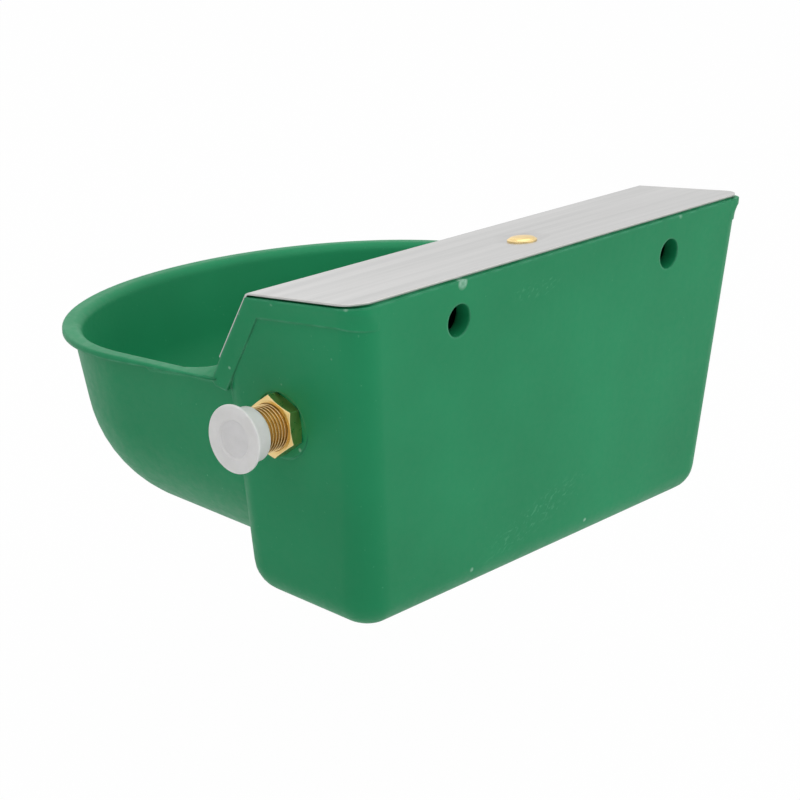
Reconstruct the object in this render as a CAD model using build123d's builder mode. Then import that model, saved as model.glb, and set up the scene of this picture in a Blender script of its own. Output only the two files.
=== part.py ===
from build123d import *

import os
from math import cos, radians, sin, sqrt, tan

# Livestock drinking bowl that hangs on a wall, with a float valve under a steel lid.
# Millimetres. The origin is midway between the two wall bolts, on the back face.
# +X points to the water inlet, +Y into the wall, +Z up; the bowl stands out towards -Y.

# ---------------------------------------------------------------- driving dimensions
# Moulded body: float chamber
TOP_WIDTH = 289.0
TOP_DEPTH = 91.5
TOP_Z = 18.0
CHAMBER_HEIGHT = 154.0
DRAFT = 5.5
TOP_CORNER_R = 6.0
BASE_CORNER_R = 26.0
BASE_EDGE_R = 20.0
WALL = 4.5
BACK_SKIM = 0.01
MIN_R = 0.4

# Line of the chamber's upper edges, seen from the side
ROOF_DEPTH = 65.0
ROOF_SLOPE = 8.5
SLANT_ANGLE = 28.5
FLARE_OUT = 1.6
FLARE_DROP = 9.0
FLARE_FACE = 1.2
BEAD_HEIGHT = 0.9
BEAD_INSET = 2.4

# Moulded body: drinking bowl
RIM_HALF_WIDTH = 141.0
RIM_FRONT = 108.0
RIM_CENTRE_Y = -157.0
RIM_Z = -42.0
RIM_TILT = 5.4
LIP_OUT = 6.0
LIP_FACE = 3.5
LIP_DROP = 11.0
BOWL_DEPTH = 67.0
BOWL_DRAFT = 12.0
BOWL_EDGE_R = 50.0
RAMP_RUN = 34.0
LIP_ROUND = 1.2
INNER_ROUND = 5.0

# Openings, bosses and holes of the body
BOLT_SPACING = 159.0
BOLT_HOLE_R = 7.5
BOLT_BOSS_R = 14.0
BOLT_BOSS_DEPTH = 8.0
WINDOW_WIDTH = 100.0
WINDOW_HEIGHT = 28.0
WINDOW_CORNER_R = 8.0
WINDOW_SILL = 2.0
PILLAR_R = 10.0
SCREW_Y = -29.0

# Lid and its screw
SHEET = 1.5
LID_BACK_GAP = 2.0
LID_OVERHANG = 0.6
LID_CORNER_R = 11.0
LID_BEND_R = 3.0
SKIRT_LENGTH = 37.5
DIMPLE_R = 15.0
DIMPLE_FLAT_R = 9.0
SCREW_R = 3.0
SCREW_LENGTH = 16.0
SCREW_HEAD_R = 7.0
SCREW_DOME_R = 6.2
SCREW_HEAD_RIM = 1.0
SCREW_DOME_HEIGHT = 3.2
INSERT_R = 5.0
INSERT_LENGTH = 14.0

# Inlet: valve tail, lock nut and cap
INLET_SETBACK = 43.5
INLET_Z = -46.0
TAIL_R = 10.3
TAIL_BORE_R = 6.5
TAIL_CHAMFER = 0.8
TAIL_OUT = 27.0
NUT_FLATS = 24.6
NUT_THICKNESS = 6.9
NUT_TURN = 40.7
NUT_CHAMFER = 0.9
NUT_MOUTH = 0.5
SEAT_R = 16.0
SEAT_THICKNESS = 7.0
WASHER_R = 15.0
WASHER_THICKNESS = 2.0
CAP_FLANGE_R = 15.2
CAP_FLANGE_THICKNESS = 1.6
CAP_BARREL_R = 12.2
CAP_BARREL_LENGTH = 8.6
CAP_DISH_R = 9.0
CAP_DISH_DEPTH = 0.9

# Float valve
FLANGE_FLATS = 28.0
FLANGE_THICKNESS = 5.0
CYLINDER_R = 11.0
CYLINDER_BORE_R = 8.0
CYLINDER_LENGTH = 46.0
NOZZLE_DEPTH = 12.5
NOZZLE_BORE_R = 2.0
NOZZLE_TIP_R = 3.5
NOZZLE_TIP_LENGTH = 2.0
SPIGOT_R = 4.0
SPIGOT_LENGTH = 5.0
SEAT_FLANGE_R = 7.6
SEAT_FLANGE_THICKNESS = 1.2
PISTON_LENGTH = 22.0
RUBBER_R = 6.0
RUBBER_THICKNESS = 3.0
RUBBER_STAND_OUT = 0.5
END_CAP_R = 13.0
END_CAP_LENGTH = 9.0
END_CAP_BASE = 3.0
END_CAP_CHAMFER = 0.8
GRIP_R = 1.2
GRIP_COUNT = 12
EAR_THICKNESS = 3.5
EAR_R = 6.0
SLOT_LENGTH = 20.0
PIN_R = 2.0
PIN_HEAD_R = 3.5
PIN_HEAD = 1.5
PIN_TAIL = 4.0
CLIP_WIRE_R = 0.6
CLIP_EYE_R = 1.6

# Float and its lever
LEVER_THICKNESS = 5.6
HUB_R = 5.0
SHORT_ARM = 15.0
SHORT_ARM_WIDTH = 4.0
NOSE_R = 3.0
LIFT_ANGLE = 10.5
ROD_R = 3.0
ROD_SLOPE = 30.0
ROD_BEND_R = 18.0
SOCKET_R = 5.0
SOCKET_LENGTH = 17.0
SOCKET_START = 9.0
SMALL_NUT_FLATS = 10.0
SMALL_NUT_THICKNESS = 4.0
FLOAT_R = 22.0
FLOAT_LENGTH = 90.0
FLOAT_CENTRE_X = -60.0
FLOAT_SHELL = 2.0
FLOAT_EDGE_R = 9.0
TUBE_R = 4.6
TUBE_STAND_OUT = 1.0
ROD_END = 8.0

# Clearances
RUNNING_FIT = 0.06
THREAD_FIT = 0.05
LOOSE_FIT = 0.3
FLOAT_FLOOR_GAP = 5.5
SCREW_FIT = 0.3
PISTON_FIT = 0.1

# ---------------------------------------------------------------- derived places
TAN_DRAFT = tan(radians(DRAFT))
TAN_ROOF = tan(radians(ROOF_SLOPE))
TAN_SLANT = tan(radians(SLANT_ANGLE))
TAN_TILT = tan(radians(RIM_TILT))
BASE_Z = TOP_Z - CHAMBER_HEIGHT
INLET_Y = INLET_SETBACK - TOP_DEPTH
FLOAT_REST_Z = BASE_Z + WALL + FLOAT_FLOOR_GAP + FLOAT_R
OVER = 12.0
FAR = TOP_WIDTH


def side_x(z):
    """Half width of the chamber's outer face at height z."""
    return TOP_WIDTH / 2 - (TOP_Z - z) * TAN_DRAFT


def front_y(z):
    """Chamber's outer front face at height z."""
    return -TOP_DEPTH + (TOP_Z - z) * TAN_DRAFT


def rim_z(y):
    """Height of the bowl's tilted rim at y."""
    return RIM_Z + (y - RIM_CENTRE_Y) * TAN_TILT


def roof_z(y, lift=0.0):
    """Height at y of the chamber's sloping roof line, raised along its normal by lift."""
    return TOP_Z + y * TAN_ROOF + lift / cos(radians(ROOF_SLOPE))


def slant_y(z, lift=0.0):
    """Place at height z of the chamber's slanted front edge, moved along its normal by lift."""
    return -ROOF_DEPTH - (roof_z(-ROOF_DEPTH) - z) * TAN_SLANT - lift / cos(radians(SLANT_ANGLE))


def shoulder(lift=0.0):
    """Corner between the roof line and the slanted edge, both raised by lift."""
    y = slant_y(roof_z(0, lift), lift) / (1 - TAN_ROOF * TAN_SLANT)
    return y, roof_z(y, lift)


def slant_foot(lift=0.0):
    """Corner between the slanted edge and the rim's plane."""
    y = slant_y(rim_z(0), lift) / (1 - TAN_TILT * TAN_SLANT)
    return y, rim_z(y)


NUT_SEAT_X = side_x(INLET_Z)
INNER_SEAT_X = NUT_SEAT_X - SEAT_THICKNESS
FLANGE_X = INNER_SEAT_X - WASHER_THICKNESS
CYLINDER_X = FLANGE_X - FLANGE_THICKNESS
NOZZLE_X = CYLINDER_X - NOZZLE_DEPTH
CYLINDER_END_X = CYLINDER_X - CYLINDER_LENGTH
TAIL_END_X = NUT_SEAT_X + TAIL_OUT
CAP_BASE_X = TAIL_END_X + LOOSE_FIT
STROKE = 2 * SHORT_ARM * sin(radians(LIFT_ANGLE / 2))
RUBBER_FACE_X = NOZZLE_X - NOZZLE_TIP_LENGTH - STROKE - RUNNING_FIT
PISTON_FACE_X = RUBBER_FACE_X - RUBBER_STAND_OUT
PISTON_END_X = PISTON_FACE_X - PISTON_LENGTH
NOSE_X = (PISTON_FACE_X + PISTON_END_X) / 2
PIVOT_X = NOSE_X + SHORT_ARM * sin(radians(LIFT_ANGLE / 2))
PIVOT_Z = INLET_Z - SHORT_ARM * cos(radians(LIFT_ANGLE / 2))
FORK_HALF = LEVER_THICKNESS / 2 + LOOSE_FIT
FLOAT_NEAR_X = FLOAT_CENTRE_X + FLOAT_LENGTH / 2
FLOAT_FAR_X = FLOAT_CENTRE_X - FLOAT_LENGTH / 2


# ---------------------------------------------------------------- planes and shared outlines
SIDE_VIEW = Plane(origin=(0, INLET_Y, INLET_Z), x_dir=(1, 0, 0), z_dir=(0, -1, 0))
VALVE_AXIS = Axis((0, INLET_Y, INLET_Z), (1, 0, 0))
FLOAT_VIEW = Plane(origin=(0, INLET_Y, FLOAT_REST_Z), x_dir=(1, 0, 0), z_dir=(0, -1, 0))
FLOAT_AXIS = Axis((0, INLET_Y, FLOAT_REST_Z), (1, 0, 0))
PIVOT_VIEW = Plane(origin=(PIVOT_X, INLET_Y, PIVOT_Z), x_dir=(1, 0, 0), z_dir=(0, -1, 0))


def facing_x(x, y=INLET_Y, z=INLET_Z):
    """Plane facing +X through a point, with +Y to the right and +Z up."""
    return Plane(origin=(x, y, z), x_dir=(0, 1, 0), z_dir=(1, 0, 0))


def roof_plane(y, lift=0.0):
    """Plane on the chamber's sloping roof line at y, raised along its normal."""
    normal = Vector(0, -sin(radians(ROOF_SLOPE)), cos(radians(ROOF_SLOPE)))
    foot = Vector(0, y, roof_z(y))
    return Plane(origin=foot + normal * lift, x_dir=(1, 0, 0), z_dir=normal)


def rim_plane(lift=0.0):
    """The rim's tilted plane, raised along its own normal."""
    tilt = radians(RIM_TILT)
    normal = Vector(0, -sin(tilt), cos(tilt))
    return Plane(origin=Vector(0, RIM_CENTRE_Y, RIM_Z) + normal * lift, x_dir=(1, 0, 0), z_dir=normal)


def rod_plane(distance):
    """Plane across the float rod's sloping stretch, at a distance from the lever's pivot."""
    slope = radians(ROD_SLOPE)
    along = Vector(-cos(slope), 0, -sin(slope))
    return Plane(origin=Vector(PIVOT_X, INLET_Y, PIVOT_Z) + along * distance, x_dir=(0, 1, 0), z_dir=along)


def chamber_outline(z, inset=0.0):
    """Plan outline of the drafted chamber at height z, moved inwards by inset."""
    narrowing = (TOP_Z - z) * TAN_DRAFT
    width = TOP_WIDTH - 2 * (narrowing + inset)
    depth = TOP_DEPTH - narrowing - 2 * inset + BACK_SKIM
    share = (TOP_Z - z) / CHAMBER_HEIGHT
    corner = max(TOP_CORNER_R + share * (BASE_CORNER_R - TOP_CORNER_R) - inset, MIN_R)
    with BuildSketch(Plane.XY.offset(z)) as outline:
        with Locations((0, BACK_SKIM - inset - depth / 2)):
            RectangleRounded(width, depth, corner)
    return outline.sketch


def lid_outline(z):
    """Plan outline of the lid at height z: rounded at the back, past the skirt in front."""
    width = 2 * (side_x(z) + LID_OVERHANG)
    depth = 2 * TOP_DEPTH
    with BuildSketch(Plane.XY.offset(z)) as outline:
        with Locations((0, -LID_BACK_GAP - depth / 2)):
            RectangleRounded(width, depth, LID_CORNER_R)
    return outline.sketch


def bowl_outline(plane, half_width, reach, back):
    """U-shaped outline: a half ellipse in front, straight sides back towards the wall."""
    with BuildSketch(plane) as outline:
        with BuildLine():
            EllipticalCenterArc((0, 0), half_width, reach, start_angle=180, arc_size=180)
            Polyline((half_width, 0), (half_width, back), (-half_width, back), (-half_width, 0))
        make_face()
    return outline.sketch


def rim_path(half_width, reach, back):
    """The U-shaped line of the rim, from the +X end round the front to the -X end."""
    with BuildLine(rim_plane()) as path:
        Line((half_width, back), (half_width, 0))
        EllipticalCenterArc((0, 0), half_width, reach, start_angle=0, arc_size=-180)
        Line((-half_width, 0), (-half_width, back))
    return path.line


def rim_section(half_width, back):
    """Plane across the rim's path at its +X end, with the rim's normal up."""
    tilt = radians(RIM_TILT)
    start = rim_plane().from_local_coords(Vector(half_width, back, 0))
    return Plane(origin=start, x_dir=(1, 0, 0), z_dir=(0, -cos(tilt), -sin(tilt)))


def above_edges(lift=0.0):
    """Everything above the roof line, the slanted edge and the rim."""
    with BuildPart() as above:
        with BuildSketch(Plane.YZ) as side_view:
            with BuildLine():
                Polyline(
                    (OVER, roof_z(OVER, lift)),
                    shoulder(lift),
                    slant_foot(lift),
                    (-FAR, rim_z(-FAR)),
                    (-FAR, TOP_Z + OVER),
                    (OVER, TOP_Z + OVER),
                    close=True,
                )
            make_face()
            fillet(side_view.vertices().sort_by_distance(shoulder(lift))[0], LID_BEND_R - SHEET)
        extrude(amount=FAR, both=True)
    return above.part


# ---------------------------------------------------------------- body: forms that it is cut from
with BuildPart() as chamber_form:
    loft(sections=[chamber_outline(BASE_Z), chamber_outline(TOP_Z + OVER)])
    fillet(chamber_form.edges().group_by(Axis.Z)[0], BASE_EDGE_R)
    # The back is faced flat, to lie on the wall.
    split(bisect_by=Plane.XZ, keep=Keep.TOP)

with BuildPart() as chamber_core:
    loft(sections=[chamber_outline(BASE_Z + WALL, WALL), chamber_outline(TOP_Z + OVER, WALL)])
    fillet(chamber_core.edges().group_by(Axis.Z)[0], BASE_EDGE_R - WALL)

# The bead is the inner half of the chamber's upper edge: the lid rests on it.
with BuildPart() as bead:
    loft(sections=[chamber_outline(BASE_Z, BEAD_INSET), chamber_outline(TOP_Z + OVER, BEAD_INSET)])
    add(chamber_core.part, mode=Mode.SUBTRACT)

BOWL_BACK = -RIM_CENTRE_Y - TOP_DEPTH + BASE_EDGE_R
LIP_BACK = -RIM_CENTRE_Y - TOP_DEPTH + WALL + BASE_CORNER_R / 2
BOWL_NARROWING = BOWL_DEPTH * tan(radians(BOWL_DRAFT))


def bowl_form(inset):
    """Solid of the bowl below its rim: drafted sides and a deep round to the bottom."""
    wide = RIM_HALF_WIDTH - LIP_OUT - inset
    reach = RIM_FRONT - LIP_OUT - inset
    extra = OVER * tan(radians(BOWL_DRAFT))
    bottom = Plane.XY.offset(RIM_Z - BOWL_DEPTH + inset).shift_origin((0, RIM_CENTRE_Y, RIM_Z - BOWL_DEPTH + inset))
    with BuildPart() as form:
        loft(
            sections=[
                bowl_outline(bottom, wide - BOWL_NARROWING, reach - BOWL_NARROWING, BOWL_BACK),
                bowl_outline(rim_plane(OVER), wide + extra, reach + extra, BOWL_BACK),
            ],
            ruled=True,
        )
        bottom_edges = form.edges().group_by(Axis.Z)[0].sort_by(Axis.Y)[:-1]
        fillet(bottom_edges, BOWL_EDGE_R - inset)
    return form.part


with BuildPart() as bowl_core:
    add(bowl_form(WALL))
    add(chamber_form.part, mode=Mode.SUBTRACT)


# ---------------------------------------------------------------- body: lip, flare and ramps
with BuildPart() as lip:
    wall_lean = LIP_DROP * tan(radians(BOWL_DRAFT))
    with BuildSketch(rim_section(RIM_HALF_WIDTH, LIP_BACK)) as lip_profile:
        with BuildLine():
            Polyline(
                (-LIP_OUT - wall_lean, -LIP_DROP),
                (-LIP_OUT - wall_lean - WALL / 2, -LIP_DROP),
                (-LIP_OUT - WALL / 2, 0),
                (0, 0),
                (0, -LIP_FACE),
            )
            RadiusArc((0, -LIP_FACE), (-LIP_OUT - wall_lean, -LIP_DROP), LIP_DROP)
        make_face()
        top_corner = lip_profile.vertices().sort_by(Axis.X)[-2:].sort_by(Axis.Y)[-1]
        fillet(top_corner, LIP_ROUND)
    sweep(path=rim_path(RIM_HALF_WIDTH, RIM_FRONT, LIP_BACK))

with BuildPart() as inner_round:
    inner_width = RIM_HALF_WIDTH - LIP_OUT - WALL
    inner_front = RIM_FRONT - LIP_OUT - WALL
    with BuildSketch(rim_section(inner_width, LIP_BACK)):
        with BuildLine():
            Polyline(
                (INNER_ROUND, 0),
                (INNER_ROUND, MIN_R),
                (-WALL, MIN_R),
                (-WALL, -INNER_ROUND),
                (0, -INNER_ROUND),
            )
            RadiusArc((0, -INNER_ROUND), (INNER_ROUND, 0), INNER_ROUND)
        make_face()
    sweep(path=rim_path(inner_width, inner_front, LIP_BACK))


def side_point(y, z):
    """Point on the chamber's +X side face."""
    return Vector(side_x(z), y, z)


with BuildPart() as flare:
    top_back = side_point(0, roof_z(0))
    top_front = side_point(*shoulder())
    foot = side_point(*slant_foot())
    face_normal = Vector(cos(radians(DRAFT)), 0, -sin(radians(DRAFT)))
    with BuildSketch(Plane(origin=top_back, x_dir=face_normal, z_dir=top_front - top_back)):
        with BuildLine():
            Polyline((0, -FLARE_DROP), (-WALL / 2, -FLARE_DROP), (-WALL / 2, 0), (FLARE_OUT, 0), (FLARE_OUT, -FLARE_FACE))
            RadiusArc((FLARE_OUT, -FLARE_FACE), (0, -FLARE_DROP), 2 * FLARE_DROP)
        make_face()
    with BuildLine():
        Polyline(top_back, top_front, foot)
    sweep(transition=Transition.RIGHT)
    mirror(about=Plane.YZ)

# The flare follows the chamber's rounded back corners.
with BuildPart() as flare_limit:
    loft(sections=[chamber_outline(BASE_Z, -FLARE_OUT), chamber_outline(TOP_Z + OVER, -FLARE_OUT)])
    split(bisect_by=Plane.XZ, keep=Keep.TOP)


def ramp_outline(x, crest_z):
    """Side outline at x of the ramp from the rim up to the skirt's lower end."""
    crest_y = slant_y(crest_z)
    toe_y = slant_foot()[0] - RAMP_RUN
    with BuildSketch(Plane.YZ.offset(x)) as outline:
        with BuildLine():
            Line((crest_y, crest_z), (slant_y(rim_z(crest_y) - WALL), rim_z(crest_y) - WALL))
            Line((slant_y(rim_z(crest_y) - WALL), rim_z(crest_y) - WALL), (toe_y, rim_z(toe_y) - WALL))
            Line((toe_y, rim_z(toe_y) - WALL), (toe_y, rim_z(toe_y)))
            TangentArc((toe_y, rim_z(toe_y)), (crest_y, crest_z), tangent=(1, TAN_TILT))
        make_face()
    return outline.sketch


SKIRT_END_Z = shoulder()[1] - SKIRT_LENGTH * cos(radians(SLANT_ANGLE))
RAMP_INNER_X = RIM_HALF_WIDTH - LIP_OUT - WALL
RAMP_OUTER_X = RIM_HALF_WIDTH - LIP_ROUND

with BuildPart() as ramp:
    loft(
        sections=[
            ramp_outline(RAMP_INNER_X, SKIRT_END_Z),
            ramp_outline(RAMP_OUTER_X, slant_foot()[1] + MIN_R),
        ],
        ruled=True,
    )
    mirror(about=Plane.YZ)



with BuildPart() as side_flare:
    add(flare.part)
    add(flare_limit.part, mode=Mode.INTERSECT)

with BuildPart() as trim:
    add(above_edges())
    add(bead.part, mode=Mode.SUBTRACT)


with BuildPart() as chamber_space:
    add(chamber_core.part)
    # Left standing: the pillar for the lid screw, up the back wall.
    with BuildSketch(Plane.XY.offset(BASE_Z)):
        with Locations((0, SCREW_Y)):
            Circle(PILLAR_R)
        with Locations((0, SCREW_Y / 2)):
            Rectangle(2 * PILLAR_R, -SCREW_Y)
    extrude(amount=CHAMBER_HEIGHT + OVER, mode=Mode.SUBTRACT)
    # Left standing: the bosses round the wall bolts.
    with BuildSketch(Plane.XZ):
        with Locations((-BOLT_SPACING / 2, 0), (BOLT_SPACING / 2, 0)):
            Circle(BOLT_BOSS_R)
    extrude(amount=BOLT_BOSS_DEPTH, mode=Mode.SUBTRACT)


# ---------------------------------------------------------------- body: the moulding itself
with BuildPart() as bowl_body:
    # Bowl and float chamber, hollowed, with the chamber's front wall left between them.
    add(chamber_form.part)
    add(bowl_form(0.0))
    add(bowl_core.part, mode=Mode.SUBTRACT)
    add(lip.part)
    add(ramp.part)
    add(inner_round.part, mode=Mode.SUBTRACT)
    add(chamber_space.part, mode=Mode.SUBTRACT)
    add(side_flare.part)

    # Square seat for the valve in the leaning side wall.
    with BuildSketch(facing_x(NUT_SEAT_X)):
        Circle(SEAT_R)
    extrude(amount=-SEAT_THICKNESS)
    with BuildSketch(facing_x(NUT_SEAT_X)):
        Circle(SEAT_R)
    extrude(amount=SEAT_THICKNESS, mode=Mode.SUBTRACT)
    with BuildSketch(facing_x(NUT_SEAT_X)):
        Circle(TAIL_R + LOOSE_FIT)
    extrude(amount=-SEAT_THICKNESS, mode=Mode.SUBTRACT)

    # Upper edges, with the bead that the lid rests on.
    add(trim.part, mode=Mode.SUBTRACT)
    add(above_edges(BEAD_HEIGHT), mode=Mode.SUBTRACT)

    # Wall-bolt holes.
    with BuildSketch(Plane.XZ):
        with Locations((-BOLT_SPACING / 2, 0), (BOLT_SPACING / 2, 0)):
            Circle(BOLT_HOLE_R)
    extrude(amount=BOLT_BOSS_DEPTH, mode=Mode.SUBTRACT)

    # Window that lets the water through from the chamber to the bowl.
    window_z = RIM_Z - BOWL_DEPTH + WALL + WINDOW_SILL + WINDOW_HEIGHT / 2
    with BuildSketch(Plane.XZ.offset(TOP_DEPTH)):
        with Locations((0, window_z)):
            RectangleRounded(WINDOW_WIDTH, WINDOW_HEIGHT, WINDOW_CORNER_R)
    extrude(amount=-BASE_EDGE_R, mode=Mode.SUBTRACT)

    # Bore for the threaded insert, with room below it for the screw's end.
    with BuildSketch(roof_plane(SCREW_Y)):
        Circle(INSERT_R)
    extrude(amount=-INSERT_LENGTH, mode=Mode.SUBTRACT)
    with BuildSketch(roof_plane(SCREW_Y)):
        Circle(SCREW_R + SCREW_FIT)
    extrude(amount=-SCREW_LENGTH - WALL, mode=Mode.SUBTRACT)


# ---------------------------------------------------------------- lid
with BuildPart() as lid_limit:
    loft(sections=[lid_outline(BASE_Z), lid_outline(TOP_Z + OVER)])

with BuildPart() as lid:
    # Folded sheet: top plate and slanted skirt.
    skirt_end_y = slant_y(SKIRT_END_Z, BEAD_HEIGHT)
    skirt_out_y = -SHEET * cos(radians(SLANT_ANGLE))
    skirt_out_z = SHEET * sin(radians(SLANT_ANGLE))
    with BuildSketch(Plane.YZ) as fold:
        with BuildLine():
            Polyline(
                (0, roof_z(0, BEAD_HEIGHT)),
                shoulder(BEAD_HEIGHT),
                (skirt_end_y, SKIRT_END_Z),
                (skirt_end_y + skirt_out_y, SKIRT_END_Z + skirt_out_z),
                shoulder(BEAD_HEIGHT + SHEET),
                (0, roof_z(0, BEAD_HEIGHT + SHEET)),
                close=True,
            )
        make_face()
        inner_corner, outer_corner = fold.vertices().sort_by(Axis.Y)[2:4]
        fillet(inner_corner, LID_BEND_R - SHEET)
        fillet(outer_corner, LID_BEND_R)
    extrude(amount=TOP_WIDTH, both=True)
    add(lid_limit.part, mode=Mode.INTERSECT)

    # Pressed dimple for the screw, down to the pillar.
    with BuildSketch(roof_plane(SCREW_Y)):
        Circle(DIMPLE_FLAT_R + SHEET)
    with BuildSketch(roof_plane(SCREW_Y, BEAD_HEIGHT)):
        Circle(DIMPLE_R + SHEET)
    loft()
    with BuildSketch(roof_plane(SCREW_Y, SHEET)):
        Circle(DIMPLE_FLAT_R)
    with BuildSketch(roof_plane(SCREW_Y, SHEET + BEAD_HEIGHT)):
        Circle(DIMPLE_R)
    loft(mode=Mode.SUBTRACT)
    with BuildSketch(roof_plane(SCREW_Y, SHEET + BEAD_HEIGHT)):
        Circle(SCREW_R + SCREW_FIT)
    extrude(amount=-SHEET - 2 * BEAD_HEIGHT, mode=Mode.SUBTRACT)


# ---------------------------------------------------------------- lid screw and its insert
def screw_section():
    """Plane through the screw's axis, on the lid round it: local Y points up the screw."""
    up = roof_plane(SCREW_Y).z_dir
    return Plane(origin=roof_plane(SCREW_Y, SHEET).origin, x_dir=(1, 0, 0), z_dir=Vector(1, 0, 0).cross(up))


with BuildPart() as lid_screw:
    with BuildSketch(screw_section()):
        with BuildLine():
            Polyline(
                (0, SCREW_HEAD_RIM + SCREW_DOME_HEIGHT),
                (0, -SCREW_LENGTH),
                (SCREW_R, -SCREW_LENGTH),
                (SCREW_R, 0),
                (SCREW_HEAD_R, 0),
                (SCREW_HEAD_R, SCREW_HEAD_RIM),
                (SCREW_DOME_R, SCREW_HEAD_RIM),
            )
            dome_radius = (SCREW_DOME_R**2 + SCREW_DOME_HEIGHT**2) / (2 * SCREW_DOME_HEIGHT)
            RadiusArc((SCREW_DOME_R, SCREW_HEAD_RIM), (0, SCREW_HEAD_RIM + SCREW_DOME_HEIGHT), -dome_radius)
        make_face()
    revolve(axis=Axis(screw_section().origin, screw_section().y_dir))

with BuildPart() as lid_insert:
    with BuildSketch(roof_plane(SCREW_Y)):
        Circle(INSERT_R)
        Circle(SCREW_R + SCREW_FIT, mode=Mode.SUBTRACT)
    extrude(amount=-INSERT_LENGTH)


# ---------------------------------------------------------------- inlet: nut, washer and cap
with BuildPart() as lock_nut:
    with BuildSketch(facing_x(NUT_SEAT_X)):
        RegularPolygon(NUT_FLATS / sqrt(3), 6, rotation=NUT_TURN)
        Circle(TAIL_R + THREAD_FIT, mode=Mode.SUBTRACT)
    extrude(amount=NUT_THICKNESS)
    # Both faces are turned down towards the corners, and the bore is opened at its mouth.
    with BuildSketch(SIDE_VIEW):
        with BuildLine():
            Polyline(
                (NUT_SEAT_X, 0),
                (NUT_SEAT_X, NUT_FLATS / 2),
                (NUT_SEAT_X + NUT_CHAMFER, NUT_FLATS / sqrt(3)),
                (NUT_SEAT_X + NUT_THICKNESS - NUT_CHAMFER, NUT_FLATS / sqrt(3)),
                (NUT_SEAT_X + NUT_THICKNESS, NUT_FLATS / 2),
                (NUT_SEAT_X + NUT_THICKNESS, 0),
                close=True,
            )
        make_face()
    revolve(axis=VALVE_AXIS, mode=Mode.INTERSECT)
    mouth = lock_nut.faces().sort_by(Axis.X)[-1].edges().filter_by(GeomType.CIRCLE).sort_by(SortBy.RADIUS)[0]
    chamfer(mouth, NUT_MOUTH)

with BuildPart() as seal_washer:
    with BuildSketch(facing_x(FLANGE_X)):
        Circle(WASHER_R)
        Circle(TAIL_R + LOOSE_FIT, mode=Mode.SUBTRACT)
    extrude(amount=WASHER_THICKNESS)

with BuildPart() as inlet_cap:
    with BuildSketch(SIDE_VIEW):
        with BuildLine():
            Polyline(
                (CAP_BASE_X, 0),
                (CAP_BASE_X, TAIL_R + LOOSE_FIT),
                (CAP_BASE_X - CAP_BARREL_LENGTH, TAIL_R + LOOSE_FIT),
                (CAP_BASE_X - CAP_BARREL_LENGTH, CAP_BARREL_R),
                (CAP_BASE_X, CAP_BARREL_R),
                (CAP_BASE_X, CAP_FLANGE_R),
                (CAP_BASE_X + CAP_FLANGE_THICKNESS, CAP_FLANGE_R),
                (CAP_BASE_X + CAP_FLANGE_THICKNESS, CAP_DISH_R),
                (CAP_BASE_X + CAP_FLANGE_THICKNESS - CAP_DISH_DEPTH, CAP_DISH_R - CAP_DISH_DEPTH),
                (CAP_BASE_X + CAP_FLANGE_THICKNESS - CAP_DISH_DEPTH, 0),
                close=True,
            )
        make_face()
    revolve(axis=VALVE_AXIS)
    flange_edges = inlet_cap.edges().filter_by(GeomType.CIRCLE).sort_by(SortBy.RADIUS)[-2:]
    fillet(flange_edges, CAP_FLANGE_THICKNESS / 3)


# ---------------------------------------------------------------- float valve
with BuildPart() as valve_body:
    # Threaded tail through the wall, hexagonal flange and cylinder, on one axis.
    with BuildSketch(facing_x(CYLINDER_END_X)):
        Circle(CYLINDER_R)
    extrude(amount=CYLINDER_LENGTH)
    with BuildSketch(facing_x(CYLINDER_X)):
        RegularPolygon(FLANGE_FLATS / sqrt(3), 6)
    extrude(amount=FLANGE_THICKNESS)
    with BuildSketch(facing_x(FLANGE_X)):
        Circle(TAIL_R)
    extrude(amount=TAIL_END_X - FLANGE_X)
    tail_rim = valve_body.faces().sort_by(Axis.X)[-1].edges()
    chamfer(tail_rim, TAIL_CHAMFER)

    # Ears for the lever's pin, one each side of the slot.
    with BuildSketch(PIVOT_VIEW):
        Circle(EAR_R)
        with Locations((0, (INLET_Z - PIVOT_Z) / 2)):
            Rectangle(2 * EAR_R, INLET_Z - PIVOT_Z)
    extrude(amount=FORK_HALF + EAR_THICKNESS, both=True)

    # Cylinder bore, way through to the nozzle, and the bore of the tail.
    with BuildSketch(facing_x(CYLINDER_END_X)):
        Circle(CYLINDER_BORE_R)
    extrude(amount=NOZZLE_X - CYLINDER_END_X, mode=Mode.SUBTRACT)
    with BuildSketch(facing_x(NOZZLE_X)):
        Circle(SPIGOT_R)
    extrude(amount=SPIGOT_LENGTH, mode=Mode.SUBTRACT)
    with BuildSketch(facing_x(NOZZLE_X + SPIGOT_LENGTH)):
        Circle(TAIL_BORE_R)
    extrude(amount=TAIL_END_X - NOZZLE_X, mode=Mode.SUBTRACT)

    # Slot between the ears: the lever works in it and the water leaves by it.
    with BuildSketch(PIVOT_VIEW):
        with Locations((0, (INLET_Z - PIVOT_Z) / 2 - EAR_R)):
            Rectangle(SLOT_LENGTH, INLET_Z - PIVOT_Z + 2 * EAR_R)
    extrude(amount=FORK_HALF, both=True, mode=Mode.SUBTRACT)
    with BuildSketch(PIVOT_VIEW):
        Circle(PIN_R + THREAD_FIT)
    extrude(amount=CYLINDER_R, both=True, mode=Mode.SUBTRACT)

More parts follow.
